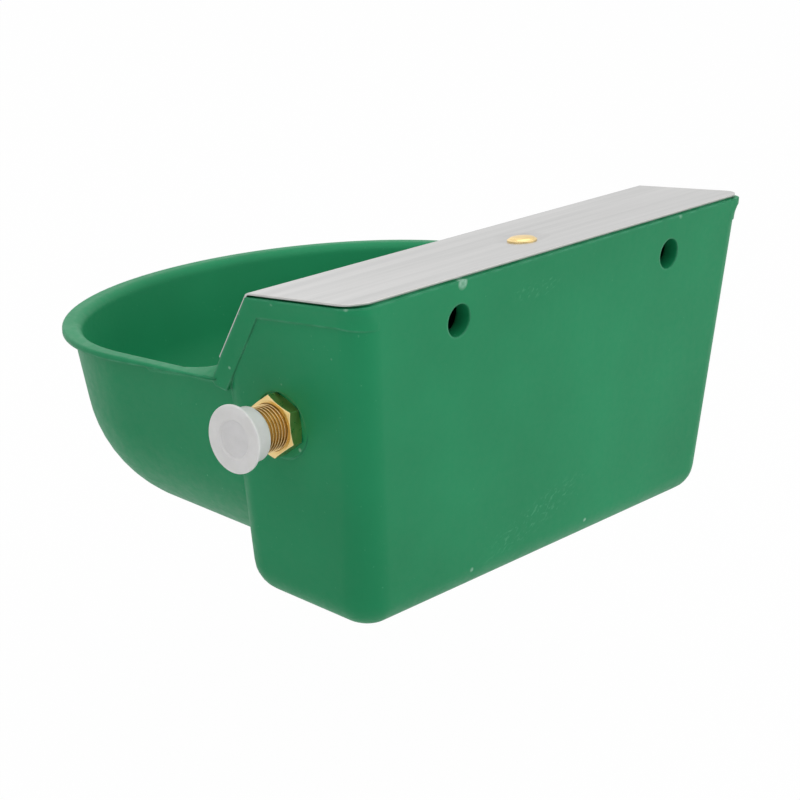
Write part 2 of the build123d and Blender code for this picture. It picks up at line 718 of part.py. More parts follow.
with BuildPart() as valve_seat:
    with BuildSketch(SIDE_VIEW):
        with BuildLine():
            Polyline(
                (NOZZLE_X + SPIGOT_LENGTH, NOZZLE_BORE_R),
                (NOZZLE_X + SPIGOT_LENGTH, SPIGOT_R),
                (NOZZLE_X, SPIGOT_R),
                (NOZZLE_X, SEAT_FLANGE_R),
                (NOZZLE_X - SEAT_FLANGE_THICKNESS, SEAT_FLANGE_R),
                (NOZZLE_X - SEAT_FLANGE_THICKNESS, NOZZLE_TIP_R),
                (NOZZLE_X - NOZZLE_TIP_LENGTH, NOZZLE_TIP_R - NOZZLE_BORE_R / 4),
                (NOZZLE_X - NOZZLE_TIP_LENGTH, NOZZLE_BORE_R),
                close=True,
            )
        make_face()
    revolve(axis=VALVE_AXIS)

with BuildPart() as valve_piston:
    with BuildSketch(facing_x(PISTON_END_X)):
        Circle(CYLINDER_BORE_R - PISTON_FIT)
    extrude(amount=PISTON_LENGTH)
    with BuildSketch(facing_x(RUBBER_FACE_X - RUBBER_THICKNESS)):
        Circle(RUBBER_R)
    extrude(amount=RUBBER_THICKNESS, mode=Mode.SUBTRACT)
    # Slot for the lever's nose, open below.
    with BuildSketch(SIDE_VIEW):
        with Locations((NOSE_X, 0)):
            SlotCenterToCenter(2 * CYLINDER_BORE_R, 2 * NOSE_R + LOOSE_FIT, rotation=90)
        with Locations((NOSE_X, CYLINDER_BORE_R + NOSE_R + LOOSE_FIT)):
            Rectangle(PISTON_LENGTH, 2 * CYLINDER_BORE_R, mode=Mode.SUBTRACT)
        with Locations((NOSE_X, -CYLINDER_BORE_R)):
            Rectangle(2 * NOSE_R + LOOSE_FIT, CYLINDER_BORE_R)
    extrude(amount=FORK_HALF, both=True, mode=Mode.SUBTRACT)

with BuildPart() as piston_washer:
    with BuildSketch(facing_x(RUBBER_FACE_X - RUBBER_THICKNESS)):
        Circle(RUBBER_R)
    extrude(amount=RUBBER_THICKNESS)

with BuildPart() as valve_end_cap:
    with BuildSketch(facing_x(CYLINDER_END_X - END_CAP_BASE)):
        Circle(END_CAP_R)
    extrude(amount=END_CAP_LENGTH)
    with BuildSketch(facing_x(CYLINDER_END_X)):
        Circle(CYLINDER_R + THREAD_FIT)
    extrude(amount=END_CAP_LENGTH, mode=Mode.SUBTRACT)
    cap_edge = valve_end_cap.faces().sort_by(Axis.X)[0].edges()
    chamfer(cap_edge, END_CAP_CHAMFER)
    # Grips round the outside.
    with BuildSketch(facing_x(CYLINDER_END_X - END_CAP_BASE)):
        with PolarLocations(END_CAP_R + GRIP_R / 2, GRIP_COUNT):
            Circle(GRIP_R)
    extrude(amount=END_CAP_LENGTH, mode=Mode.SUBTRACT)


# ---------------------------------------------------------------- lever pin and its clip
PIN_HEAD_Y = INLET_Y + FORK_HALF + EAR_THICKNESS
PIN_TAIL_Y = INLET_Y - FORK_HALF - EAR_THICKNESS
CLIP_Y = PIN_TAIL_Y - PIN_TAIL / 2
CLIP_EYE_Z = PIN_R + 2 * CLIP_WIRE_R + CLIP_EYE_R

with BuildPart() as lever_pin:
    with BuildSketch(Plane.XZ.offset(-PIN_HEAD_Y)):
        with Locations((PIVOT_X, PIVOT_Z)):
            Circle(PIN_R)
    extrude(amount=PIN_HEAD_Y - PIN_TAIL_Y + PIN_TAIL)
    with BuildSketch(Plane.XZ.offset(-PIN_HEAD_Y)):
        with Locations((PIVOT_X, PIVOT_Z)):
            Circle(PIN_HEAD_R)
    extrude(amount=-PIN_HEAD)
    with BuildSketch(Plane.XY.offset(PIVOT_Z - PIN_R)):
        with Locations((PIVOT_X, CLIP_Y)):
            Circle(CLIP_WIRE_R + THREAD_FIT)
    extrude(amount=2 * PIN_R, mode=Mode.SUBTRACT)

with BuildPart() as pin_clip:
    with BuildSketch(Plane.XY.offset(PIVOT_Z - 2 * PIN_R)):
        with Locations((PIVOT_X, CLIP_Y)):
            Circle(CLIP_WIRE_R)
    extrude(amount=2 * PIN_R + CLIP_EYE_Z - CLIP_EYE_R)
    with Locations(Plane(origin=(PIVOT_X, CLIP_Y, PIVOT_Z + CLIP_EYE_Z), z_dir=(0, 1, 0))):
        Torus(CLIP_EYE_R, CLIP_WIRE_R)


# ---------------------------------------------------------------- float lever and rod
with BuildPart() as float_lever:
    # Hub, short arm with its round nose, and long arm towards the rod.
    with BuildSketch(PIVOT_VIEW):
        Circle(HUB_R)
        with Locations((NOSE_X - PIVOT_X, INLET_Z - PIVOT_Z)):
            Circle(NOSE_R)
        with Locations(((NOSE_X - PIVOT_X) / 2, (INLET_Z - PIVOT_Z) / 2)):
            Rectangle(SHORT_ARM_WIDTH, SHORT_ARM, rotation=LIFT_ANGLE / 2)
        with PolarLocations(SOCKET_START / 2, 1, start_angle=180 + ROD_SLOPE):
            Rectangle(SOCKET_START, 2 * NOSE_R)
    extrude(amount=LEVER_THICKNESS / 2, both=True)
    with BuildSketch(rod_plane(SOCKET_START - HUB_R / 2)):
        Circle(SOCKET_R)
    extrude(amount=SOCKET_LENGTH)
    with BuildSketch(rod_plane(SOCKET_START + HUB_R / 2)):
        Circle(ROD_R + THREAD_FIT)
    extrude(amount=SOCKET_LENGTH, mode=Mode.SUBTRACT)
    with BuildSketch(PIVOT_VIEW):
        Circle(PIN_R + RUNNING_FIT)
    extrude(amount=CYLINDER_R, both=True, mode=Mode.SUBTRACT)

SOCKET_END = SOCKET_START - HUB_R / 2 + SOCKET_LENGTH

with BuildPart() as float_rod:
    rod_start = rod_plane(SOCKET_START + HUB_R / 2)
    fall = (PIVOT_Z - FLOAT_REST_Z) / sin(radians(ROD_SLOPE))
    with BuildSketch(rod_start):
        Circle(ROD_R)
    with BuildLine():
        FilletPolyline(
            rod_start.origin,
            rod_plane(fall).origin,
            Vector(FLOAT_FAR_X - ROD_END, INLET_Y, FLOAT_REST_Z),
            radius=ROD_BEND_R,
        )
    sweep()

with BuildPart() as rod_lock_nut:
    with BuildSketch(rod_plane(SOCKET_END)):
        RegularPolygon(SMALL_NUT_FLATS / sqrt(3), 6)
        Circle(ROD_R + THREAD_FIT, mode=Mode.SUBTRACT)
    extrude(amount=SMALL_NUT_THICKNESS)


# ---------------------------------------------------------------- float
with BuildPart() as float_shell:
    with BuildSketch(FLOAT_VIEW) as float_profile:
        with Locations((FLOAT_CENTRE_X, FLOAT_R / 2)):
            Rectangle(FLOAT_LENGTH, FLOAT_R)
        fillet(float_profile.vertices().group_by(Axis.Y)[-1], FLOAT_EDGE_R)
    revolve(axis=FLOAT_AXIS)
    with BuildSketch(FLOAT_VIEW) as hollow_profile:
        with Locations((FLOAT_CENTRE_X, (FLOAT_R - FLOAT_SHELL) / 2)):
            Rectangle(FLOAT_LENGTH - 2 * FLOAT_SHELL, FLOAT_R - FLOAT_SHELL)
        fillet(hollow_profile.vertices().group_by(Axis.Y)[-1], FLOAT_EDGE_R - FLOAT_SHELL)
    revolve(axis=FLOAT_AXIS, mode=Mode.SUBTRACT)
    with BuildSketch(facing_x(FLOAT_FAR_X, z=FLOAT_REST_Z)):
        Circle(TUBE_R)
    extrude(amount=FLOAT_LENGTH, mode=Mode.SUBTRACT)

with BuildPart() as float_upper:
    add(float_shell.part)
    split(bisect_by=Plane.XY.offset(FLOAT_REST_Z), keep=Keep.TOP)

with BuildPart() as float_lower:
    add(float_shell.part)
    split(bisect_by=Plane.XY.offset(FLOAT_REST_Z), keep=Keep.BOTTOM)

with BuildPart() as float_tube:
    with BuildSketch(facing_x(FLOAT_FAR_X - TUBE_STAND_OUT, z=FLOAT_REST_Z)):
        Circle(TUBE_R)
        Circle(ROD_R + LOOSE_FIT / 2, mode=Mode.SUBTRACT)
    extrude(amount=FLOAT_LENGTH + 2 * TUBE_STAND_OUT)

with BuildPart() as float_nuts:
    for nut_x in (FLOAT_FAR_X - TUBE_STAND_OUT - SMALL_NUT_THICKNESS, FLOAT_NEAR_X + TUBE_STAND_OUT):
        with BuildSketch(facing_x(nut_x, z=FLOAT_REST_Z)):
            RegularPolygon(SMALL_NUT_FLATS / sqrt(3), 6)
            Circle(ROD_R + THREAD_FIT, mode=Mode.SUBTRACT)
        extrude(amount=SMALL_NUT_THICKNESS)


# ---------------------------------------------------------------- export
pieces = {
    "bowl_body": bowl_body,
    "lid": lid,
    "lid_screw": lid_screw,
    "lid_insert": lid_insert,
    "lock_nut": lock_nut,
    "seal_washer": seal_washer,
    "inlet_cap": inlet_cap,
    "valve_body": valve_body,
    "valve_seat": valve_seat,
    "valve_piston": valve_piston,
    "piston_washer": piston_washer,
    "valve_end_cap": valve_end_cap,
    "lever_pin": lever_pin,
    "pin_clip": pin_clip,
    "float_lever": float_lever,
    "float_rod": float_rod,
    "rod_lock_nut": rod_lock_nut,
    "float_upper": float_upper,
    "float_lower": float_lower,
    "float_tube": float_tube,
    "float_nuts": float_nuts,
}
os.makedirs("parts", exist_ok=True)
for name, piece in pieces.items():
    piece.part.label = name
    export_step(piece.part, f"parts/{name}.step")
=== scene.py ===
import math

import bmesh
import bpy
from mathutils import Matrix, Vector


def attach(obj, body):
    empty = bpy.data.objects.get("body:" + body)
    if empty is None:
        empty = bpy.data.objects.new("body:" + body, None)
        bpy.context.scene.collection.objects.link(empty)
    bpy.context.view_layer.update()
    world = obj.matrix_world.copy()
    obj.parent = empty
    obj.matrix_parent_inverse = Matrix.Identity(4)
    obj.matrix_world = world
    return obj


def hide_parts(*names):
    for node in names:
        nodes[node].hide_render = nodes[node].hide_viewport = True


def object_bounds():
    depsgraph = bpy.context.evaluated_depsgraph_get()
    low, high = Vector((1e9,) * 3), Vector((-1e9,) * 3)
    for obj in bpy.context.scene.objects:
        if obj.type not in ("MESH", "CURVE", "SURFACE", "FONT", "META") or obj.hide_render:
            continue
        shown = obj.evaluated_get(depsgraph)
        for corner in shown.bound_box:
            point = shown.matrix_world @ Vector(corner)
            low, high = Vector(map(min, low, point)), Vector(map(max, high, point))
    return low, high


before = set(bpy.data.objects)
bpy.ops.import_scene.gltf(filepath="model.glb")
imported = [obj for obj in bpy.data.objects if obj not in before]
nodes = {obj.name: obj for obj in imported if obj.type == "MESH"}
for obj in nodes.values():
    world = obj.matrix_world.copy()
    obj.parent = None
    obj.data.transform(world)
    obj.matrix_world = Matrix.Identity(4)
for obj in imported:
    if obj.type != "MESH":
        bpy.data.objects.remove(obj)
cad_box = [list(corner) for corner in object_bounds()]


# ---------------------------------------------------------------- camera, floor and light
# A plain white sweep under and behind the bowl, lit by broad soft lamps from the ceiling and from
# the sides. The camera is a little above, behind the wall side and towards the water inlet.
CAMERA_LENS = 97.64
CAMERA_FILM = 36
CAMERA_PLACE = (0.77477, 0.55658, 0.28665)
CAMERA_TURN = (1.2211004, -0.0456869, 2.2892216)
camera_data = bpy.data.cameras.new("camera")
camera_data.lens = CAMERA_LENS
camera_data.sensor_width = CAMERA_FILM
camera = bpy.data.objects.new("camera", camera_data)
camera.location = CAMERA_PLACE
camera.rotation_euler = CAMERA_TURN
bpy.context.scene.collection.objects.link(camera)
bpy.context.scene.camera = camera

LIT_POINT = (0, -0.1, -0.05)


def soft_lamp(name, place, side, radiance):
    """A square lamp of a given brightness that faces the middle of the bowl."""
    lamp = bpy.data.lights.new(name, "AREA")
    lamp.shape = "SQUARE"
    lamp.size = side
    lamp.energy = math.pi * side**2 * radiance
    holder = bpy.data.objects.new(name, lamp)
    holder.location = place
    aim = [t - p for t, p in zip(LIT_POINT, place)]
    pitch = math.atan2(math.hypot(aim[0], aim[1]), -aim[2])
    holder.rotation_euler = (pitch, 0, math.atan2(aim[1], aim[0]) - math.pi / 2)
    bpy.context.scene.collection.objects.link(holder)


soft_lamp("ceiling", place=(0.1, 0.1, 1.6), side=2.2, radiance=1.0)
soft_lamp("wall_side", place=(-0.9, 1.7, 0.7), side=1.8, radiance=1.0)
soft_lamp("inlet_side", place=(1.8, 0.2, 0.3), side=1.2, radiance=0.55)
soft_lamp("bowl_side", place=(-0.6, -1.7, 0.9), side=1.6, radiance=0.3)

WORLD_LIGHT = 0.42
world = bpy.data.worlds.new("studio")
world.use_nodes = True
bpy.context.scene.world = world
sky = world.node_tree
background = sky.nodes["Background"]
background.inputs["Color"].default_value = (1, 1, 1, 1)


def joined(tree, operation, first, second):
    """Two values worked together by a math node."""
    node = tree.nodes.new("ShaderNodeMath")
    node.operation = operation
    tree.links.new(first, node.inputs[0])
    tree.links.new(second, node.inputs[1])
    return node.outputs[0]


def seen_directly(tree, outputs):
    """One where a ray of any of the named kinds arrives, zero elsewhere."""
    rays = tree.nodes.new("ShaderNodeLightPath")
    seen = rays.outputs[outputs[0]]
    for name in outputs[1:]:
        seen = joined(tree, "MAXIMUM", seen, rays.outputs[name])
    return seen


def span(tree, value, source, result):
    """A value mapped from one range to another, clamped."""
    node = tree.nodes.new("ShaderNodeMapRange")
    for name, number in zip(("From Min", "From Max", "To Min", "To Max"), (*source, *result)):
        node.inputs[name].default_value = number
    tree.links.new(value, node.inputs["Value"])
    return node.outputs["Result"]


white_rays = seen_directly(sky, ("Is Camera Ray", "Is Glossy Ray", "Is Transmission Ray"))
sky.links.new(span(sky, white_rays, (0, 1), (WORLD_LIGHT, 1)), background.inputs["Strength"])


def new_material(name):
    """An empty node material, with its nodes, its links and its principled shader."""
    material = bpy.data.materials.new(name)
    material.use_nodes = True
    tree = material.node_tree
    tree.nodes.clear()
    output = tree.nodes.new("ShaderNodeOutputMaterial")
    shader = tree.nodes.new("ShaderNodeBsdfPrincipled")
    tree.links.new(shader.outputs["BSDF"], output.inputs["Surface"])
    return material, tree, shader


FLOOR_DROP = 0.12
FLOOR_REACH = 6.0
FLOOR_GREY = (0.86, 0.86, 0.86, 1)
FLOOR_ROUGHNESS = 0.9
FLOOR_GLOW = 0.985
floor_z = cad_box[0][2] - FLOOR_DROP
floor_mesh = bpy.data.meshes.new("floor")
floor_signs = ((-1, -1), (1, -1), (1, 1), (-1, 1))
floor_corners = [(x * FLOOR_REACH, y * FLOOR_REACH, floor_z) for x, y in floor_signs]
floor_mesh.from_pydata(floor_corners, [], [(0, 1, 2, 3)])
floor = bpy.data.objects.new("floor", floor_mesh)
bpy.context.scene.collection.objects.link(floor)
paper, tree, shader = new_material("floor_paper")
shader.inputs["Base Color"].default_value = FLOOR_GREY
shader.inputs["Roughness"].default_value = FLOOR_ROUGHNESS
glow = tree.nodes.new("ShaderNodeEmission")
mixed = tree.nodes.new("ShaderNodeMixShader")
white_rays = seen_directly(tree, ("Is Camera Ray", "Is Glossy Ray"))
tree.links.new(span(tree, white_rays, (0, 1), (0, FLOOR_GLOW)), mixed.inputs["Fac"])
tree.links.new(shader.outputs["BSDF"], mixed.inputs[1])
tree.links.new(glow.outputs["Emission"], mixed.inputs[2])
tree.links.new(mixed.outputs["Shader"], tree.nodes["Material Output"].inputs["Surface"])
floor_mesh.materials.append(paper)


# ---------------------------------------------------------------- moulded body
# The bowl and the float chamber are one moulding in green polyethylene, bolted to a wall through
# two holes. The chamber's walls lean, its upper edges turn outwards and carry a bead for the lid,
# and the bowl has a turned-out lip.
TOP_WIDTH = 0.289
TOP_DEPTH = 0.0915
TOP_Z = 0.018
CHAMBER_HEIGHT = 0.154
CHAMBER_DRAFT = math.radians(5.5)
TOP_CORNER_R = 0.0125
BASE_CORNER_R = 0.016
BASE_EDGE_R = 0.0155
WALL = 0.0045
MIN_R = 0.0004
BASE_Z = TOP_Z - CHAMBER_HEIGHT
OVER = 0.012
ROUND_STEPS = 8
MERGE_DISTANCE = 1e-6


def side_x(z):
    """Half width of the chamber's outer face at height z."""
    return TOP_WIDTH / 2 - (TOP_Z - z) * math.tan(CHAMBER_DRAFT)


def arc(centre, radius, start, end, steps):
    """Points of an arc about a centre, by its start and end angles."""
    turns = [start + (end - start) * k / steps for k in range(steps + 1)]
    return [(centre[0] + radius * math.cos(a), centre[1] + radius * math.sin(a)) for a in turns]


def rounded_plan(half, front, rear, corner, z, steps=ROUND_STEPS):
    """A rounded rectangle at height z, about the plane X = 0."""
    centres = (
        (half - corner, rear - corner),
        (corner - half, rear - corner),
        (corner - half, front + corner),
        (half - corner, front + corner),
    )
    ring = []
    for quarter, centre in enumerate(centres):
        start = quarter * math.pi / 2
        ring += [(x, y, z) for x, y in arc(centre, corner, start, start + math.pi / 2, steps)]
    return ring


def chamber_ring(z, inset):
    """Plan outline of the drafted chamber at height z, moved inwards by inset."""
    share = (TOP_Z - z) / CHAMBER_HEIGHT
    corner = max(TOP_CORNER_R + share * (BASE_CORNER_R - TOP_CORNER_R) - inset, MIN_R)
    front = -TOP_DEPTH + (TOP_Z - z) * math.tan(CHAMBER_DRAFT) + inset
    return rounded_plan(side_x(z) - inset, front, -inset, corner, z)


def rolled_edge(radius, draft, steps=ROUND_STEPS):
    """Heights above a base and insets of the round between it and a leaning wall."""
    end = radius * (1 - math.sin(draft))
    lean = math.tan(draft)
    edge = []
    for k in range(steps + 1):
        turn = (math.pi / 2 - draft) * k / steps
        height = radius * (1 - math.cos(turn))
        edge.append((height, (height - end) * lean + radius * (math.cos(draft) - math.sin(turn))))
    return edge


def lofted(name, rings):
    """A closed solid through rings of equally many points, with both ends capped."""
    mesh = bpy.data.meshes.new(name)
    form = bmesh.new()
    loops = [[form.verts.new(point) for point in ring] for ring in rings]
    for lower, upper in zip(loops, loops[1:]):
        for k in range(len(lower)):
            form.faces.new((lower[k - 1], lower[k], upper[k], upper[k - 1]))
    form.faces.new(loops[0])
    form.faces.new(loops[-1])
    bmesh.ops.remove_doubles(form, verts=form.verts, dist=MERGE_DISTANCE)
    bmesh.ops.recalc_face_normals(form, faces=form.faces)
    form.to_mesh(mesh)
    form.free()
    piece = bpy.data.objects.new(name, mesh)
    bpy.context.scene.collection.objects.link(piece)
    return piece


def prism(name, outline, low, high):
    """A solid between X = low and X = high, over an outline of (y, z) points."""
    return lofted(name, [[(x, y, z) for y, z in outline] for x in (low, high)])


def rod(name, centre, axis, radius, end_radius=None, steps=48):
    """A round solid from a centre along an axis vector, tapered where an end radius is given."""
    along = Vector(axis)
    turn = along.to_track_quat("Z", "Y").to_matrix()
    rings = []
    for start, size in ((Vector(centre), radius), (Vector(centre) + along, end_radius or radius)):
        circle = arc((0, 0), size, 0, 2 * math.pi, steps)[:-1]
        rings.append([start + turn @ Vector((x, y, 0)) for x, y in circle])
    return lofted(name, rings)


def settle(piece):
    """Takes a piece's modifiers into its mesh."""
    evaluated = piece.evaluated_get(bpy.context.evaluated_depsgraph_get())
    plain = bpy.data.meshes.new_from_object(evaluated)
    piece.modifiers.clear()
    piece.data = plain
    return piece


def combined(base, tool, operation="DIFFERENCE"):
    """A solid cut by, joined with or limited to another, which is used up."""
    step = base.modifiers.new("combine", "BOOLEAN")
    step.operation = operation
    step.solver = "MANIFOLD"
    step.object = tool
    settle(base)
    bpy.data.objects.remove(tool)
    return base


def smoothed(piece, angle):
    """A piece shaded smooth, with creases over an angle and flat faces kept flat."""
    form = bmesh.new()
    form.from_mesh(piece.data)
    bmesh.ops.remove_doubles(form, verts=form.verts, dist=MERGE_DISTANCE)
    bmesh.ops.dissolve_degenerate(form, edges=form.edges, dist=MERGE_DISTANCE)
    form.to_mesh(piece.data)
    form.free()
    piece.data.shade_smooth()
    piece.data.set_sharp_from_angle(angle=angle)
    weighted = piece.modifiers.new("weighted", "WEIGHTED_NORMAL")
    weighted.keep_sharp = True
    return settle(piece)


def chamber_solid(inset):
    """The chamber's outer form, or its hollow, with a rolled edge at its base."""
    floor_height = BASE_Z + inset
    rings = [
        chamber_ring(floor_height + height, inset + extra)
        for height, extra in rolled_edge(BASE_EDGE_R - inset, CHAMBER_DRAFT)
    ]
    rings.append(chamber_ring(TOP_Z + OVER, inset))
    return lofted("chamber", rings)


ROOF_DEPTH = 0.065
ROOF_SLOPE = math.radians(8.5)
SLANT_ANGLE = math.radians(28.5)
RIM_HALF_WIDTH = 0.141
RIM_FRONT = 0.108
RIM_CENTRE_Y = -0.157
RIM_Z = -0.042
RIM_TILT = math.radians(5.4)
LIP_OUT = 0.0045
LIP_DROP = 0.0052
INNER_ROUND = 0.005
INNER_STEPS = 6
BOWL_DEPTH = 0.092
BOWL_DRAFT = math.radians(12)
BOWL_EDGE_R = 0.065
BOWL_EDGE_STEPS = 14
BOWL_BACK = -RIM_CENTRE_Y - ROOF_DEPTH + BASE_EDGE_R


def rim_z(y):
    """Height of the bowl's tilted rim at y."""
    return RIM_Z + (y - RIM_CENTRE_Y) * math.tan(RIM_TILT)


def roof_z(y, lift=0.0):
    """Height at y of the chamber's sloping roof line, raised along its normal by lift."""
    return TOP_Z + y * math.tan(ROOF_SLOPE) + lift / math.cos(ROOF_SLOPE)


def slant_y(z, lift=0.0):
    """Place at height z of the chamber's slanted front edge, moved along its normal by lift."""
    return -ROOF_DEPTH - (roof_z(-ROOF_DEPTH) - z) * math.tan(SLANT_ANGLE) - lift / math.cos(SLANT_ANGLE)


def shoulder(roof_lift=0.0, slant_lift=0.0):
    """Corner between the raised roof line and the slanted edge moved outwards."""
    meeting = 1 - math.tan(ROOF_SLOPE) * math.tan(SLANT_ANGLE)
    y = slant_y(roof_z(0, roof_lift), slant_lift) / meeting
    return y, roof_z(y, roof_lift)


def slant_foot():
    """Corner between the slanted edge and the rim's plane."""
    y = slant_y(rim_z(0)) / (1 - math.tan(RIM_TILT) * math.tan(SLANT_ANGLE))
    return y, rim_z(y)


FOOT_Y, FOOT_Z = slant_foot()
LIP_BACK = FOOT_Y - RIM_CENTRE_Y + LIP_OUT / 2


def on_rim(x, y, lift):
    """A point by its place in the rim's tilted plane and its height over it."""
    tilt_cos, tilt_sin = math.cos(RIM_TILT), math.sin(RIM_TILT)
    return (x, RIM_CENTRE_Y + y * tilt_cos - lift * tilt_sin, RIM_Z + y * tilt_sin + lift * tilt_cos)


def rim_line(half, reach, back, steps=64):
    """Plan points and outward directions along the U of the rim, from +X round the front to -X."""
    line = [((half, back), (1, 0))]
    for k in range(steps + 1):
        turn = math.pi * k / steps
        x, y = half * math.cos(turn), -reach * math.sin(turn)
        size = math.hypot(x / half**2, y / reach**2)
        line.append(((x, y), (x / half**2 / size, y / reach**2 / size)))
    line.append(((-half, back), (-1, 0)))
    return line


def bowl_solid(inset, top_round):
    """The bowl's outer form, or its hollow with its upper edge rounded outwards."""
    wide = RIM_HALF_WIDTH - LIP_OUT - inset
    reach = RIM_FRONT - LIP_OUT - inset
    lean = math.tan(BOWL_DRAFT)
    bottom = RIM_Z - BOWL_DEPTH + inset
    rings = []
    for height, extra in rolled_edge(BOWL_EDGE_R - inset, BOWL_DRAFT, BOWL_EDGE_STEPS):
        narrow = (BOWL_DEPTH - height) * lean + extra
        line = rim_line(wide - narrow, reach - narrow, BOWL_BACK - inset)
        rings.append([(x, RIM_CENTRE_Y + y, bottom + height) for (x, y), out in line])
    if top_round:
        turns = [math.pi / 2 * k / INNER_STEPS for k in range(INNER_STEPS + 1)]
        rounds = [(-top_round * (1 - math.sin(t)), top_round * (1 - math.cos(t) - lean)) for t in turns]
        rounds.append((2 * OVER, top_round * (1 - lean)))
    else:
        rounds = [(-LIP_DROP, -LIP_DROP * lean), (OVER, OVER * lean)]
    for lift, more in rounds:
        line = rim_line(wide + more, reach + more, BOWL_BACK - inset)
        rings.append([on_rim(x, y, lift) for (x, y), out in line])
    return lofted("bowl", rings)


def cove(start, end, sag, steps=6):
    """Points of a hollow curve from start to end, sagging towards the upper left."""
    along = Vector((end[0] - start[0], end[1] - start[1]))
    side = Vector((along[1], -along[0])).normalized()
    points = []
    for k in range(steps + 1):
        share = k / steps
        bend = Vector(start) + along * share + side * sag * 4 * share * (1 - share)
        points.append((bend[0], bend[1]))
    return points


LIP_FACE = 0.0028
LIP_TAPER = math.radians(9.2)
LIP_END = 0.0006
LIP_ROUND = 0.0012
LIP_SAG = 0.001


def lip_solid():
    """The turned-out lip: a face, a cove under it, and a lower edge that thins out to the wall."""
    lean = LIP_DROP * math.tan(BOWL_DRAFT)
    profile = [(-LIP_OUT - lean - WALL / 2, -LIP_DROP), (-LIP_OUT - WALL / 2, 0)]
    profile += arc((-LIP_ROUND, -LIP_ROUND), LIP_ROUND, math.pi / 2, 0, ROUND_STEPS // 2)
    profile += cove((0, -LIP_FACE), (-LIP_OUT - lean, -LIP_DROP), LIP_SAG)
    rings = []
    for (x, y), (out_x, out_y) in rim_line(RIM_HALF_WIDTH, RIM_FRONT, LIP_BACK):
        ring = []
        for out, lift in profile:
            place = on_rim(x + out * out_x, y + out * out_y, lift)
            lowest = FOOT_Z - LIP_END + (place[1] - FOOT_Y) * math.tan(LIP_TAPER)
            ring.append((place[0], place[1], max(place[2], min(lowest, rim_z(place[1]) - LIP_END))))
        rings.append(ring)
    return lofted("lip", rings)


FLARE_OUT = 0.0016
FLARE_DROP = 0.009
FLARE_FACE = 0.0012
FLARE_SAG = 0.0004
TIP_SHARE = 0.3
BACK_SKIM = 0.00002
FAR = TOP_WIDTH


def flare_solid(side):
    """The turned-out upper edge of one side, from the rim up the slant and round the back corner."""
    profile = [(MIN_R - WALL, -FLARE_DROP), (MIN_R - WALL, OVER / 2), (FLARE_OUT, OVER / 2)]
    profile += cove((FLARE_OUT, -FLARE_FACE), (0, -FLARE_DROP), FLARE_SAG)
    sink = math.sin(CHAMBER_DRAFT)
    flat = math.cos(CHAMBER_DRAFT)
    bend_y, bend_z = shoulder()
    corner_z = roof_z(-TOP_CORNER_R)
    slant_up = Vector((0, -math.cos(SLANT_ANGLE), math.sin(SLANT_ANGLE)))
    roof_up = Vector((0, -math.sin(ROOF_SLOPE), math.cos(ROOF_SLOPE)))
    bend_up = (slant_up + roof_up) / (1 + slant_up.dot(roof_up))
    foot = Vector((side_x(FOOT_Z), FOOT_Y, FOOT_Z))
    bend = Vector((side_x(bend_z), bend_y, bend_z))
    tip = foot + (foot - bend).normalized() * LIP_FACE
    stations = [
        (tip, 0, slant_up * TIP_SHARE, -TIP_SHARE),
        (foot, 0, slant_up, TIP_SHARE),
        (foot.lerp(bend, TIP_SHARE), 0, slant_up, 1),
        (bend, 0, bend_up, 1),
    ]
    hub = Vector((side_x(corner_z) - TOP_CORNER_R, -TOP_CORNER_R, corner_z))
    for k in range(ROUND_STEPS + 1):
        turn = math.pi / 2 * k / ROUND_STEPS
        spoke = Vector((math.cos(turn), math.sin(turn), 0))
        stations.append((hub + TOP_CORNER_R * spoke, turn, Vector((0, 0, 1)), 1))
    rings = []
    for place, turn, up, swell in stations:
        outwards = Vector((math.cos(turn) * flat, math.sin(turn) * flat, -sink))
        ring = []
        for out, lift in profile:
            point = place + outwards * (out * swell if out > 0 else out) + up * lift
            ring.append((side * point[0], min(point[1], -BACK_SKIM), point[2]))
        rings.append(ring)
    return lofted("flare", rings)


def above_edges(lift):
    """Everything above the raised roof line, the slanted edge and the rim."""
    outline = [
        (OVER, roof_z(OVER, lift)),
        shoulder(lift),
        (FOOT_Y, FOOT_Z - BACK_SKIM),
        (-FAR, rim_z(-FAR) - BACK_SKIM),
        (-FAR, TOP_Z + 2 * OVER),
        (OVER, TOP_Z + 2 * OVER),
    ]
    return prism("above", outline, -FAR, FAR)


SKIRT_LENGTH = 0.0375
SKIRT_END_Z = shoulder()[1] - SKIRT_LENGTH * math.cos(SLANT_ANGLE)
RAMP_RUN = 0.046
RAMP_SINK = 1.1 * INNER_ROUND


def ramp_outline(crest_z, depth, sunk):
    """Side outline of the ramp, a hollow curve from below the rim up to the skirt's lower end."""
    crest = (slant_y(crest_z), crest_z)
    toe_y = FOOT_Y - RAMP_RUN
    root_y = slant_y(rim_z(FOOT_Y) - depth)
    toe_z = rim_z(toe_y) - sunk
    outline = [crest, (root_y, rim_z(root_y) - depth), (toe_y, toe_z - depth)]
    knee = (FOOT_Y, FOOT_Z)
    for k in range(ROUND_STEPS):
        share = k / ROUND_STEPS
        weights = ((1 - share) ** 2, 2 * share * (1 - share), share**2)
        sides = zip((toe_y, toe_z), knee, crest)
        outline.append([sum(w * p for w, p in zip(weights, points)) for points in sides])
    return outline


